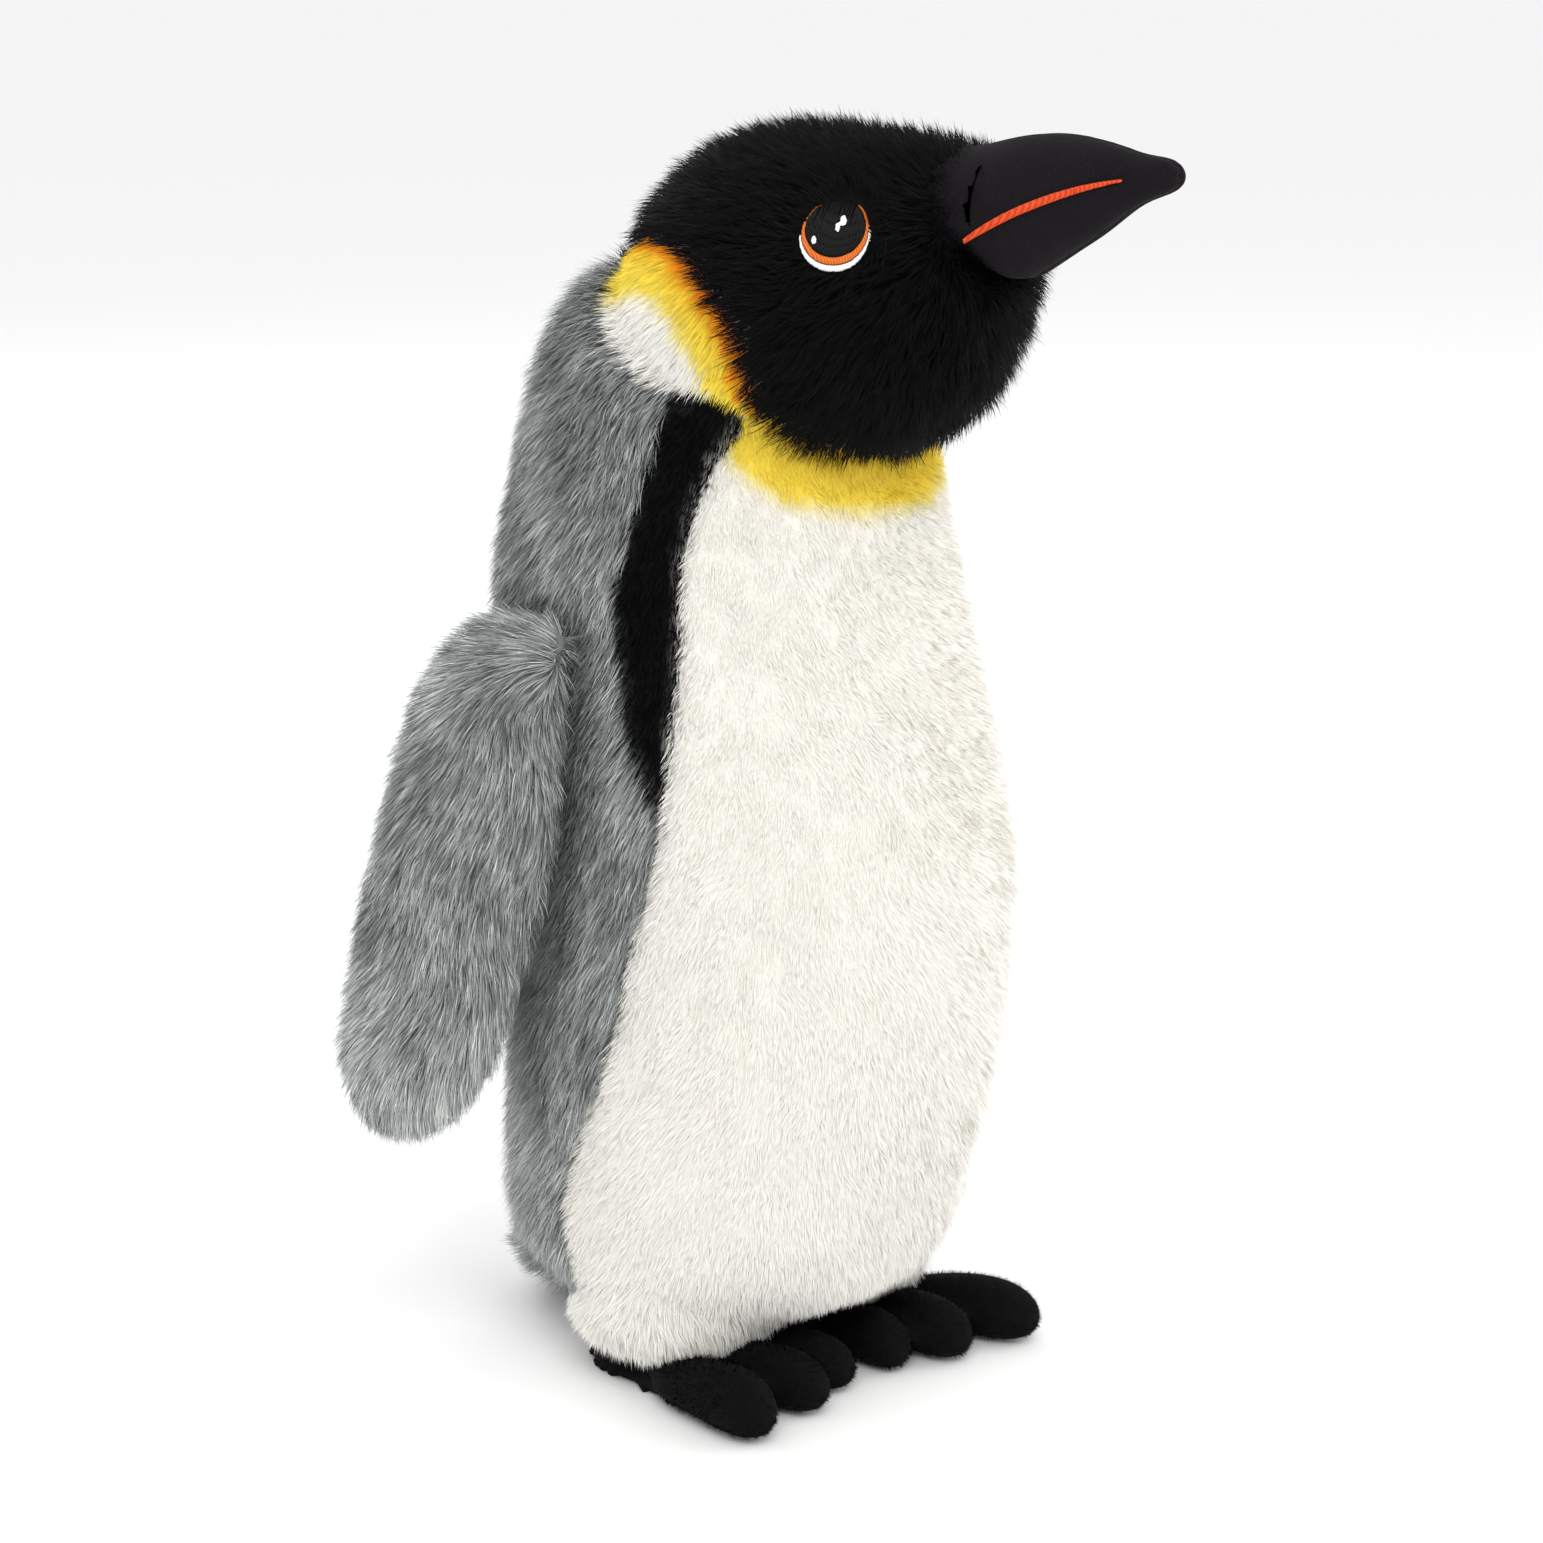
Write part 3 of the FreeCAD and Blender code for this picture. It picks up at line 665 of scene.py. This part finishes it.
dyes = np.array([DYES[styles[name].key] for name in torso_outer] + [DYES["black"]] * len(eye_nodes))
dye, share = np.zeros((len(torso.co), 3)), np.zeros((len(torso.co), 1))
for k in range(4):
    np.add.at(dye, torso.quads[:, k], dyes[face_owner])
    np.add.at(share, torso.quads[:, k], 1.0)
dye = torso.soften(dye / share)
for index, name in enumerate(torso_outer):
    style = styles[name]
    chosen = np.flatnonzero(face_owner == index)
    if name.startswith("head_panel"):
        for k, eye in enumerate(eye_nodes):
            if eye.endswith(name[-4:]):
                chosen = np.concatenate([chosen, np.flatnonzero(face_owner == len(torso_outer) + k)])
    painted = dye
    if name == "belly_panel":
        painted = dye * airbrush(throat_tint(from_head))
    elif name.startswith("neck_patch"):
        painted = dye * airbrush(patch_tint(from_head, torso.co))
    obj = skin_piece(torso, f"{name}_cloth", chosen, depth, backing["weave"], "torso", painted)
    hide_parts(name)

axis_y = (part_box("base_panel")[0].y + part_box("base_panel")[1].y) / 2
blade_gap = Surface([f"flipper_inner_{side}" for side in SIDES]).distance(torso.co)
TORSO_DENSITY = 3.7e6
roots, normals, root_depth, root_trim, root_from_head, root_upright, root_gap = torso.scatter(
    TORSO_DENSITY, depth, trim, from_head, upright, blade_gap)
owner = torso_surface.nearest_owner(roots)
beak_root = np.array([0.0, beak_high.y, (beak_low.z + beak_high.z) / 2])
toward_eye = np.where((roots[:, 0] > 0)[:, None], eye_mid["left"] - roots, eye_mid["right"] - roots)

for index, name in enumerate(torso_outer):
    style = styles[name]
    mine = (owner == index) & (rng.random(len(roots)) < style.keep)
    p, n = roots[mine], normals[mine]
    down = np.tile([0.0, 0.0, -1.0], (len(p), 1))
    shorter, tint, stand, paler = None, None, 0.0, 0.0
    if name.startswith("head_panel"):
        down = unit(p - beak_root - np.array([0.0, -0.012, 0.0])) * 1.0 + np.array([0.0, 0.35, -0.25])
        close = np.clip((near_eye(p) - EYE_EDGE) / (9 * MM), 0, 1)
        down = unit(down) - unit(toward_eye[mine]) * (1.5 * (1 - close))[:, None]
        shorter = 0.36 + 0.64 * root_trim[mine]
        stand = 0.75 * root_upright[mine]
    elif name.startswith("neck_patch"):
        down = down + np.array([0.0, 0.7, 0.0])
        stray = 1.1 * MM * ripple(p, 6 * MM, 31) + 0.5 * MM * rng.normal(size=len(p))
        tint = patch_tint(root_from_head[mine] + stray, p)
    elif name == "belly_panel":
        stray = 0.9 * MM * ripple(p, 8 * MM, 33) + 0.4 * MM * rng.normal(size=len(p))
        tint = throat_tint(root_from_head[mine] + stray)
    elif name.startswith("back_panel"):
        clear_of_flipper = np.clip((root_gap[mine] - 2 * MM) / (9 * MM), 0, 1)
        hem = np.clip((p[:, 2] - 18 * MM) / (16 * MM), 0, 1)
        shorter = (0.5 + 0.5 * clear_of_flipper) * (0.45 + 0.55 * hem)
        # Painted shade: the back's pile is darkened next to the flipper, where shade falls between flipper
        # and body; it is also paler towards the bottom.
        paler = 0.15 * np.clip((85 * MM - p[:, 2]) / (50 * MM), 0, 1) - 0.16 * (1 - clear_of_flipper)
    elif name.startswith("tail"):
        down = down * 0.5 + np.array([0.0, 1.0, 0.0])
        paler = 0.12
    elif name == "base_panel":
        down = p - np.array([0.0, axis_y, 0.02])
        shorter = np.full(len(p), 0.6)
    comb = comb_field(down, 40 + index % 7, style.noise, 0.25, p, n)
    grow(f"{name}_pile", style, p, n, comb, root_depth[mine], "torso",
         shorter, tint, None, paler, stand)

fill_co = torso.co - torso.normal * (depth + 1.1 * MM)[:, None]
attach(filling_piece("torso_fill", fill_co, torso.quads, torso_fill), "torso")
for name, key in (("bead_pouch", "pouch"), ("bead_filling", "beads")):
    nodes[name].data.materials.clear()
    nodes[name].data.materials.append(backing[key])


# ---------------------------------------------------------------- flippers

BEND_ABOVE = 3 * MM
BEND_BELOW = 6 * MM
BLADE_DENSITY = 3.9e6
joints = {j["name"]: j for j in frame["joints"]}


def make_flipper(side):
    """Cover, pile and padding of one flipper, its top drawn in towards the body at the shoulder seam."""
    sign = 1 if side == "left" else -1
    outer, inner, padding = (f"flipper_{part}_{side}" for part in ("outer", "inner", "padding"))
    form = Form([outer, inner, padding], voxel=1.8 * MM, rounds=5)
    hinge = np.array(joints[f"flipper_{side}"]["pos_m"])
    bend_start = (hinge[0], hinge[1], hinge[2] + BEND_ABOVE)
    bend_end = (hinge[0], hinge[1], hinge[2] - BEND_BELOW)
    blend = ("torso", f"flipper_{side}", bend_start, bend_end)
    tuck = np.clip((form.co[:, 2] - (hinge[2] - 10 * MM)) / (10 * MM), 0, 1) ** 2
    form.co[:, 0] -= sign * tuck * 3.2 * MM
    form.normal = vertex_normals(form.co, form.quads)
    surface = Surface([outer, inner])
    face_owner = surface.nearest_owner(form.co[form.quads].mean(1))
    blade_depth = pile_depth(form, face_owner, Surface([padding]), np.full(2, BLADE.depth))
    form.sew(face_owner, depth=0.4 * MM, lumps=0.4 * MM, seed=95)
    for index, name in enumerate((outer, inner)):
        chosen = np.flatnonzero(face_owner == index)
        plain = np.tile(DYES["grey"], (len(form.co), 1))
        obj = skin_piece(form, f"{name}_cloth", chosen, blade_depth, backing["weave"], None,
                         plain)
        bpy.context.view_layer.objects.active = obj
        obj.select_set(True)
        bpy.ops.object.modifier_apply(modifier="cloth")
        obj.select_set(False)
        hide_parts(name)
        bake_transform(obj)
    p, n, p_depth = form.scatter(BLADE_DENSITY, blade_depth)
    own = surface.nearest_owner(p)
    low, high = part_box(outer)
    fall = unit(np.array([sign * 0.13, 0.20, -1.0]))
    for index, name in enumerate((outer, inner)):
        mine = own == index
        q, m = p[mine], n[mine]
        rise = np.clip((q[:, 2] - (high.z - 22 * MM)) / (22 * MM), 0, 1)[:, None]
        middle = np.interp(q[:, 2], [low.z, high.z], [hinge[1] + 24 * MM, hinge[1]])
        fan = np.clip((q[:, 1] - middle) / (22 * MM), -1, 1)[:, None] * (1 - rise)
        down = fall + rise * np.array([0.0, 0.9, 0.25]) + fan * np.array([0.0, 0.35, 0.0])
        comb = comb_field(down, 60 + index, BLADE.noise, 0.28, q, m)
        paler = 0.20 * np.clip(1 - (q[:, 2] - low.z) / (50 * MM), 0, 1)
        shorter = np.ones(len(q))
        if name == inner:
            shorter = 1.0 - 0.45 * np.clip((np.abs(m[:, 0]) - 0.55) / 0.3, 0, 1)
        grow(f"{name}_pile", BLADE, q, m, comb, p_depth[mine], None,
             shorter, None, blend, paler)
    fill_co = form.co - form.normal * (blade_depth + 0.4 * MM)[:, None]
    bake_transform(filling_piece(f"flipper_fill_{side}", fill_co, form.quads, [padding]))


for side in SIDES:
    make_flipper(side)


# ---------------------------------------------------------------- feet

HEEL_LENGTH = 18 * MM
FOOT_DENSITY = 2.6e6


def make_foot(side):
    """Velvet cover, pile and filling of one foot, its heel drawn in under the leg."""
    upper, sole, filling = f"foot_upper_{side}", f"foot_sole_{side}", f"foot_stuffing_{side}"
    form = Form([upper, sole, filling], voxel=1.3 * MM, rounds=4)
    leg_low, leg_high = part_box(f"leg_cuff_{side}")
    leg_x, heel_y = (leg_low.x + leg_high.x) / 2, (leg_low.y + leg_high.y) / 2 - HEEL_LENGTH
    heel = np.clip((form.co[:, 1] - heel_y) / HEEL_LENGTH, 0, 1)
    form.fill_folds(heel, rounds=80)
    form.co[:, 0] += 0.32 * heel * (leg_x - form.co[:, 0])
    surface = Surface([upper, sole])
    face_owner = surface.nearest_owner(form.co[form.quads].mean(1))
    inside = Surface([filling]).distance(form.co)
    foot_depth = np.minimum(VELVET.depth * 0.6, 0.5 * inside)
    p, n = form.scatter(FOOT_DENSITY)
    own = surface.nearest_owner(p)
    for index, name in enumerate((upper, sole)):
        chosen = np.flatnonzero(face_owner == index)
        obj = skin_piece(form, f"{name}_cloth", chosen, foot_depth, backing["velvet"], "torso")
        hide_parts(name)
        mine = (own == index) & (p[:, 2] > 0.8 * MM)
        q, m = p[mine], n[mine]
        ahead = np.tile([0.0, -1.0, -0.15], (len(q), 1))
        comb = comb_field(ahead, 80 + index, VELVET.noise, 0.5, q, m)
        grow(f"{name}_pile", VELVET, q, m, comb, np.full(len(q), VELVET.depth), "torso")
    inner = Form([filling], voxel=1.5 * MM, rounds=8)
    inner.co -= inner.normal * 0.8 * MM
    inner.co[:, 1] = np.minimum(inner.co[:, 1], heel_y)
    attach(filling_piece(f"foot_fill_{side}", inner.co, inner.quads, [filling]), "torso")


for side in SIDES:
    make_foot(side)


# ---------------------------------------------------------------- beak

# The back edge of the beak is drawn back under the head's pile, and its lower corner is tucked in.
FILL_INSET = 1.8 * MM
ROOT_REACH = 2.5 * MM
ROOT_DEPTH = 4.5 * MM
CORNER_NARROWING = 0.25
CORNER_RISE = 3.5 * MM
beak = Form(["beak_panel_left", "beak_panel_right", "beak_stuffing"], voxel=1.0 * MM, rounds=4)
face_owner = beak_surface.nearest_owner(beak.co[beak.quads].mean(1))
seam = np.exp(-(beak.co[:, 0] / (0.9 * MM)) ** 2)
beak.co -= beak.normal * (seam * 0.35 * MM)[:, None]
fill_co = beak.co - beak.normal * FILL_INSET
rooted = np.clip(1 - head_surface.distance(beak.co) / ROOT_REACH, 0, 1)
fill_co[:, 1] = np.minimum(fill_co[:, 1], beak.co[rooted > 0, 1].min())
beak.co[:, 1] += rooted * ROOT_DEPTH
root_y = beak_high.y - 16 * MM
corner = np.clip((beak.co[:, 1] - root_y) / (10 * MM), 0, 1)
corner *= np.clip((beak_high.z - 20 * MM - beak.co[:, 2]) / (13 * MM), 0, 1)
for points in (beak.co, fill_co):
    points[:, 0] *= 1 - CORNER_NARROWING * corner
    points[:, 2] += CORNER_RISE * corner
for index, name in enumerate(("beak_panel_left", "beak_panel_right")):
    obj = skin_piece(beak, f"{name}_cloth", np.flatnonzero(face_owner == index), np.zeros(len(beak.co)),
                     backing["beak"], "torso")
    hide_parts(name)
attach(filling_piece("beak_fill", fill_co, beak.quads, ["beak_stuffing"]), "torso")


# ---------------------------------------------------------------- threads

def thread_material(name, dark, light, shine, roughness=0.45):
    """Glossy twisted embroidery thread."""
    mat, tree, shader = material(name)
    place = tree.nodes.new("ShaderNodeTexCoord").outputs["Object"]
    twist = add(tree, "ShaderNodeTexWave", Scale=900.0, Distortion=2.0)
    tree.links.new(place, twist.inputs["Vector"])
    colour = ramp(tree, twist.outputs["Fac"], [(0.2, dark), (0.8, light)])
    tree.links.new(colour, shader.inputs["Base Color"])
    relief = add(tree, "ShaderNodeBump", Strength=0.4, Distance=0.0001)
    tree.links.new(twist.outputs["Fac"], relief.inputs["Height"])
    tree.links.new(relief.outputs["Normal"], shader.inputs["Normal"])
    shader.inputs["Roughness"].default_value = roughness
    shader.inputs["Specular IOR Level"].default_value = shine
    return mat


thread = {
    "black": thread_material("black_thread", (0.0015, 0.0015, 0.002), (0.005, 0.005, 0.006), 0.16, 0.5),
    "orange": thread_material("orange_thread", (0.50, 0.10, 0.012), (0.78, 0.20, 0.03), 0.2),
    "red": thread_material("red_orange_thread", (0.50, 0.040, 0.008), (0.74, 0.085, 0.016), 0.2),
    "white": thread_material("white_thread", (0.82, 0.82, 0.82), (0.95, 0.95, 0.95), 0.3),
}
THREAD_SIDES = 6
STITCH_PROFILE = ((0.0, 0.45), (0.12, 0.9), (0.5, 1.0), (0.88, 0.9), (1.0, 0.45))  # along, thickness


def stitches(name, starts, ends, normals, radius, mat, replaced):
    """Rounded stitches between pairs of points on the cloth, dipping in at both ends."""
    starts, ends, normals = map(np.asarray, (starts, ends, normals))
    heading = unit(ends - starts)
    side = unit(np.cross(normals, heading))
    up = np.cross(heading, side)
    rings = []
    for share, swell in STITCH_PROFILE:
        middle = starts + (ends - starts) * share + up * (radius * (swell - 0.55))
        for k in range(THREAD_SIDES):
            turn = 2 * math.pi * k / THREAD_SIDES
            rings.append(middle + (side * math.cos(turn) + up * math.sin(turn) * 0.9) * radius * swell)
    co = np.stack(rings, 1)
    per = co.shape[1]
    base = (np.arange(len(starts)) * per)[:, None]
    faces = []
    last = len(STITCH_PROFILE) - 1
    for ring in range(last):
        for k in range(THREAD_SIDES):
            a, b = ring * THREAD_SIDES + k, ring * THREAD_SIDES + (k + 1) % THREAD_SIDES
            faces.append(base + np.array([a, b, b + THREAD_SIDES, a + THREAD_SIDES]))
    for ring, caps in ((0, ([0, 5, 4, 3], [0, 3, 2, 1])), (last, ([0, 1, 2, 3], [0, 3, 4, 5]))):
        for order in caps:
            faces.append(base + ring * THREAD_SIDES + np.array(order))
    mesh = build_mesh(name, co.reshape(-1, 3), np.vstack(faces))
    obj = new_object(name, mesh)
    obj.data.materials.append(mat)
    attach(obj, "torso")
    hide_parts(replaced)
    return obj


EYE_REACH = 10 * MM
EYE_THREAD = 0.21 * MM
RAY_STEP = 0.042  # radians between the satin stitches of a crescent
MOUTH_THREAD = 0.22 * MM
MOUTH_PITCH = 0.30 * MM
EYE_CLOTH_RADIUS = 7.9 * MM
EYE_CLOTH_DROP = 0.6 * MM


class EyeFrame:
    """Flat coordinates over one embroidered eye, and the cloth under them."""

    def __init__(self, side):
        co, tri, self.owner = joined([f"eye_{part}_{side}" for part in EYE_PARTS])
        self.tree = BVHTree.FromPolygons(co.tolist(), tri.tolist())
        pupil, _ = node_arrays(f"eye_pupil_{side}")
        self.centre = pupil.mean(0)
        _, _, axes = np.linalg.svd(pupil - self.centre, full_matrices=False)
        outward = axes[2]
        if outward[0] * self.centre[0] < 0:
            outward = -outward
        self.normal = outward
        self.across = unit(np.cross([0.0, 0.0, 1.0], outward))
        self.rise = np.cross(outward, self.across)

    def at(self, u, v):
        """Point in the plane of the eye."""
        return self.centre + self.across * u + self.rise * v

    def lay(self, u, v):
        """Point on the sunk face of the eye above flat coordinates, or None outside it."""
        start = self.at(u, v) + self.normal * 0.02
        hit, _, face, _ = self.tree.ray_cast(Vector(start), Vector(-self.normal))
        if hit is None:
            return None, None
        return np.array(hit), self.owner[face]


def fill_rows(eye, part, direction, spacing, longest):
    """Parallel stitches that fill one colour of an eye."""
    along = np.array([math.cos(direction), math.sin(direction)])
    across = np.array([-along[1], along[0]])
    wanted = EYE_PARTS.index(part)
    starts, ends = [], []
    for row, offset in enumerate(np.arange(-EYE_REACH, EYE_REACH, spacing)):
        run = []
        for s in np.arange(-EYE_REACH, EYE_REACH, 0.25 * MM):
            u, v = along * s + across * offset
            point, owned = eye.lay(u, v)
            if point is not None and owned == wanted:
                run.append((s, point))
                continue
            if len(run) > 2:
                cut(run, longest, row, starts, ends)
            run = []
    return starts, ends


def cut(run, longest, row, starts, ends):
    """Splits one row of thread into stitches of limited length, staggered from row to row."""
    total = run[-1][0] - run[0][0]
    marks = [0.0]
    reach = longest * (0.4 if row % 2 else 0.8)
    while reach < total - longest * 0.25:
        marks.append(reach)
        reach += longest
    marks.append(total)
    places = np.array([s for s, _ in run]) - run[0][0]
    points = np.array([p for _, p in run])
    for a, b in zip(marks, marks[1:]):
        starts.append([np.interp(a, places, points[:, k]) for k in range(3)])
        ends.append([np.interp(b, places, points[:, k]) for k in range(3)])


def radial_rows(eye, part, step):
    """Satin stitches across a crescent, pointing at the middle of the eye."""
    wanted = EYE_PARTS.index(part)
    starts, ends = [], []
    for turn in np.arange(0, 2 * math.pi, step):
        run = []
        for s in np.arange(4.5 * MM, 11 * MM, 0.12 * MM):
            point, owned = eye.lay(s * math.cos(turn), s * math.sin(turn))
            if point is not None and owned == wanted:
                run.append(point)
        if len(run) > 3:
            starts.append(run[0])
            ends.append(run[-1])
    return starts, ends


def embroider_eye(side):
    """Satin crescents, filled pupil and glints of one eye."""
    eye = EyeFrame(side)
    for part, key, slot_name in (("pupil", "black", "black_thread"), ("iris", "orange", "orange_thread"),
                                 ("white", "white", "white_thread"), ("glint", "white", "white_thread")):
        node = f"eye_{part}_{side}"
        if part == "pupil":
            starts, ends = fill_rows(eye, part, 1.35, 0.30 * MM, 5.0 * MM)
        elif part == "glint":
            starts, ends = fill_rows(eye, part, 0.5, 0.26 * MM, 5.0 * MM)
        else:
            starts, ends = radial_rows(eye, part, RAY_STEP)
        face = np.tile(eye.normal, (len(starts), 1))
        stitches(f"{node}_stitches", starts, ends, face, EYE_THREAD, thread[key], node)


def eye_cloth(side, rings=8, spokes=40):
    """Round of dark cloth behind the stitches of one eye."""
    eye = EyeFrame(side)
    grid = []
    for radius in np.linspace(0, EYE_CLOTH_RADIUS, rings + 1):
        for k in range(spokes):
            turn = 2 * math.pi * k / spokes
            u, v = radius * math.cos(turn), radius * math.sin(turn) - EYE_CLOTH_DROP
            point, _ = eye.lay(u, v)
            if point is None:
                point = eye.at(u, v)
            grid.append(point - eye.normal * 0.12 * MM)
    faces = []
    for ring in range(rings):
        for k in range(spokes):
            a, b = ring * spokes + k, ring * spokes + (k + 1) % spokes
            faces.append([a, b, b + spokes, a + spokes])
    patch = new_object(f"eye_cloth_{side}", build_mesh(f"eye_cloth_{side}", np.array(grid), faces))
    patch.data.materials.append(backing["velvet"])
    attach(patch, "torso")


def embroider_mouth(side):
    """One line of upright stitches along the side of the beak."""
    node = f"mouth_line_{side}"
    co, tri = node_arrays(node)
    sign = 1 if side == "left" else -1
    starts, ends, faces = [], [], []
    places = np.arange(co[:, 1].min() + 0.3 * MM, co[:, 1].max() - 0.3 * MM, MOUTH_PITCH)
    tree = BVHTree.FromPolygons(co.tolist(), tri.tolist())
    for y in places:
        run = []
        for z in np.arange(co[:, 2].min(), co[:, 2].max(), 0.08 * MM):
            hit, normal, _, _ = tree.ray_cast(Vector((sign * 0.05, y, z)), Vector((-sign, 0, 0)))
            if hit is not None:
                run.append((np.array(hit), np.array(normal)))
        if len(run) > 3:
            starts.append(run[0][0])
            ends.append(run[-1][0])
            faces.append(run[len(run) // 2][1])
    stitches(f"{node}_stitches", starts, ends, faces, MOUTH_THREAD, thread["red"], node)


for embroider in (embroider_eye, eye_cloth, embroider_mouth):
    for side in SIDES:
        embroider(side)


# ---------------------------------------------------------------- floor, light and camera

def area_light(name, place, target, size, power):
    """Soft rectangular studio light pointed at a target."""
    data = bpy.data.lights.new(name, "AREA")
    data.shape = "RECTANGLE"
    data.size, data.size_y = size
    data.energy = power
    obj = new_object(name, data)
    obj.location = place
    obj.rotation_mode = "QUATERNION"
    obj.rotation_quaternion = (Vector(target) - Vector(place)).to_track_quat("-Z", "Y")
    return obj


FLOOR_REACH = 40.0
floor_mat, _, floor_shader = material("pale_floor")
floor_shader.inputs["Base Color"].default_value = (0.90, 0.90, 0.90, 1.0)
floor_shader.inputs["Roughness"].default_value = 0.9
floor_corners = np.array([[-1, -1, 0], [1, -1, 0], [1, 1, 0], [-1, 1, 0]]) * FLOOR_REACH
floor = new_object("floor", build_mesh("floor", floor_corners, [[0, 1, 2, 3]]))
floor.data.materials.append(floor_mat)
floor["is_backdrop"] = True

world = bpy.data.worlds.new("studio")
world.use_nodes = True
world.node_tree.nodes["Background"].inputs["Color"].default_value = (1.0, 1.0, 1.0, 1.0)
world.node_tree.nodes["Background"].inputs["Strength"].default_value = 1.0
bpy.context.scene.world = world
area_light("key", (-1.0, -1.1, 1.4), (0, 0, 0.15), (1.0, 1.0), 17)
area_light("fill", (1.3, -0.9, 0.8), (0, 0, 0.15), (1.2, 1.2), 8)
area_light("rim", (0.2, 1.5, 1.3), (0, 0, 0.18), (1.0, 0.8), 8)

# The camera stands level with the head, ahead and to the penguin's right, on a long lens.
AZIMUTH = math.radians(-45.0)
DISTANCE = 0.950
HEIGHT = 0.350
FOCAL_LENGTH = 94.643
SENSOR_WIDTH = 36.0
AIM_HEIGHT = 0.143
AIM_ASIDE = 8.548 * MM
back = np.array([math.sin(AZIMUTH), -math.cos(AZIMUTH), 0.0])
right = np.array([math.cos(AZIMUTH), math.sin(AZIMUTH), 0.0])
body_axis = np.array([0.0, axis_y - 2 * MM, 0.0])
eye_point = body_axis + back * DISTANCE + np.array([0, 0, HEIGHT])
target = body_axis + right * AIM_ASIDE + np.array([0, 0, AIM_HEIGHT])
camera = bpy.data.cameras.new("camera")
camera.lens = FOCAL_LENGTH
camera.sensor_width = SENSOR_WIDTH
camera_obj = new_object("camera", camera)
camera_obj.location = eye_point
camera_obj.rotation_mode = "QUATERNION"
camera_obj.rotation_quaternion = Vector(target - eye_point).to_track_quat("-Z", "Y")
bpy.context.scene.camera = camera_obj
bpy.context.scene.view_settings.view_transform = "Standard"

low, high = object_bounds()
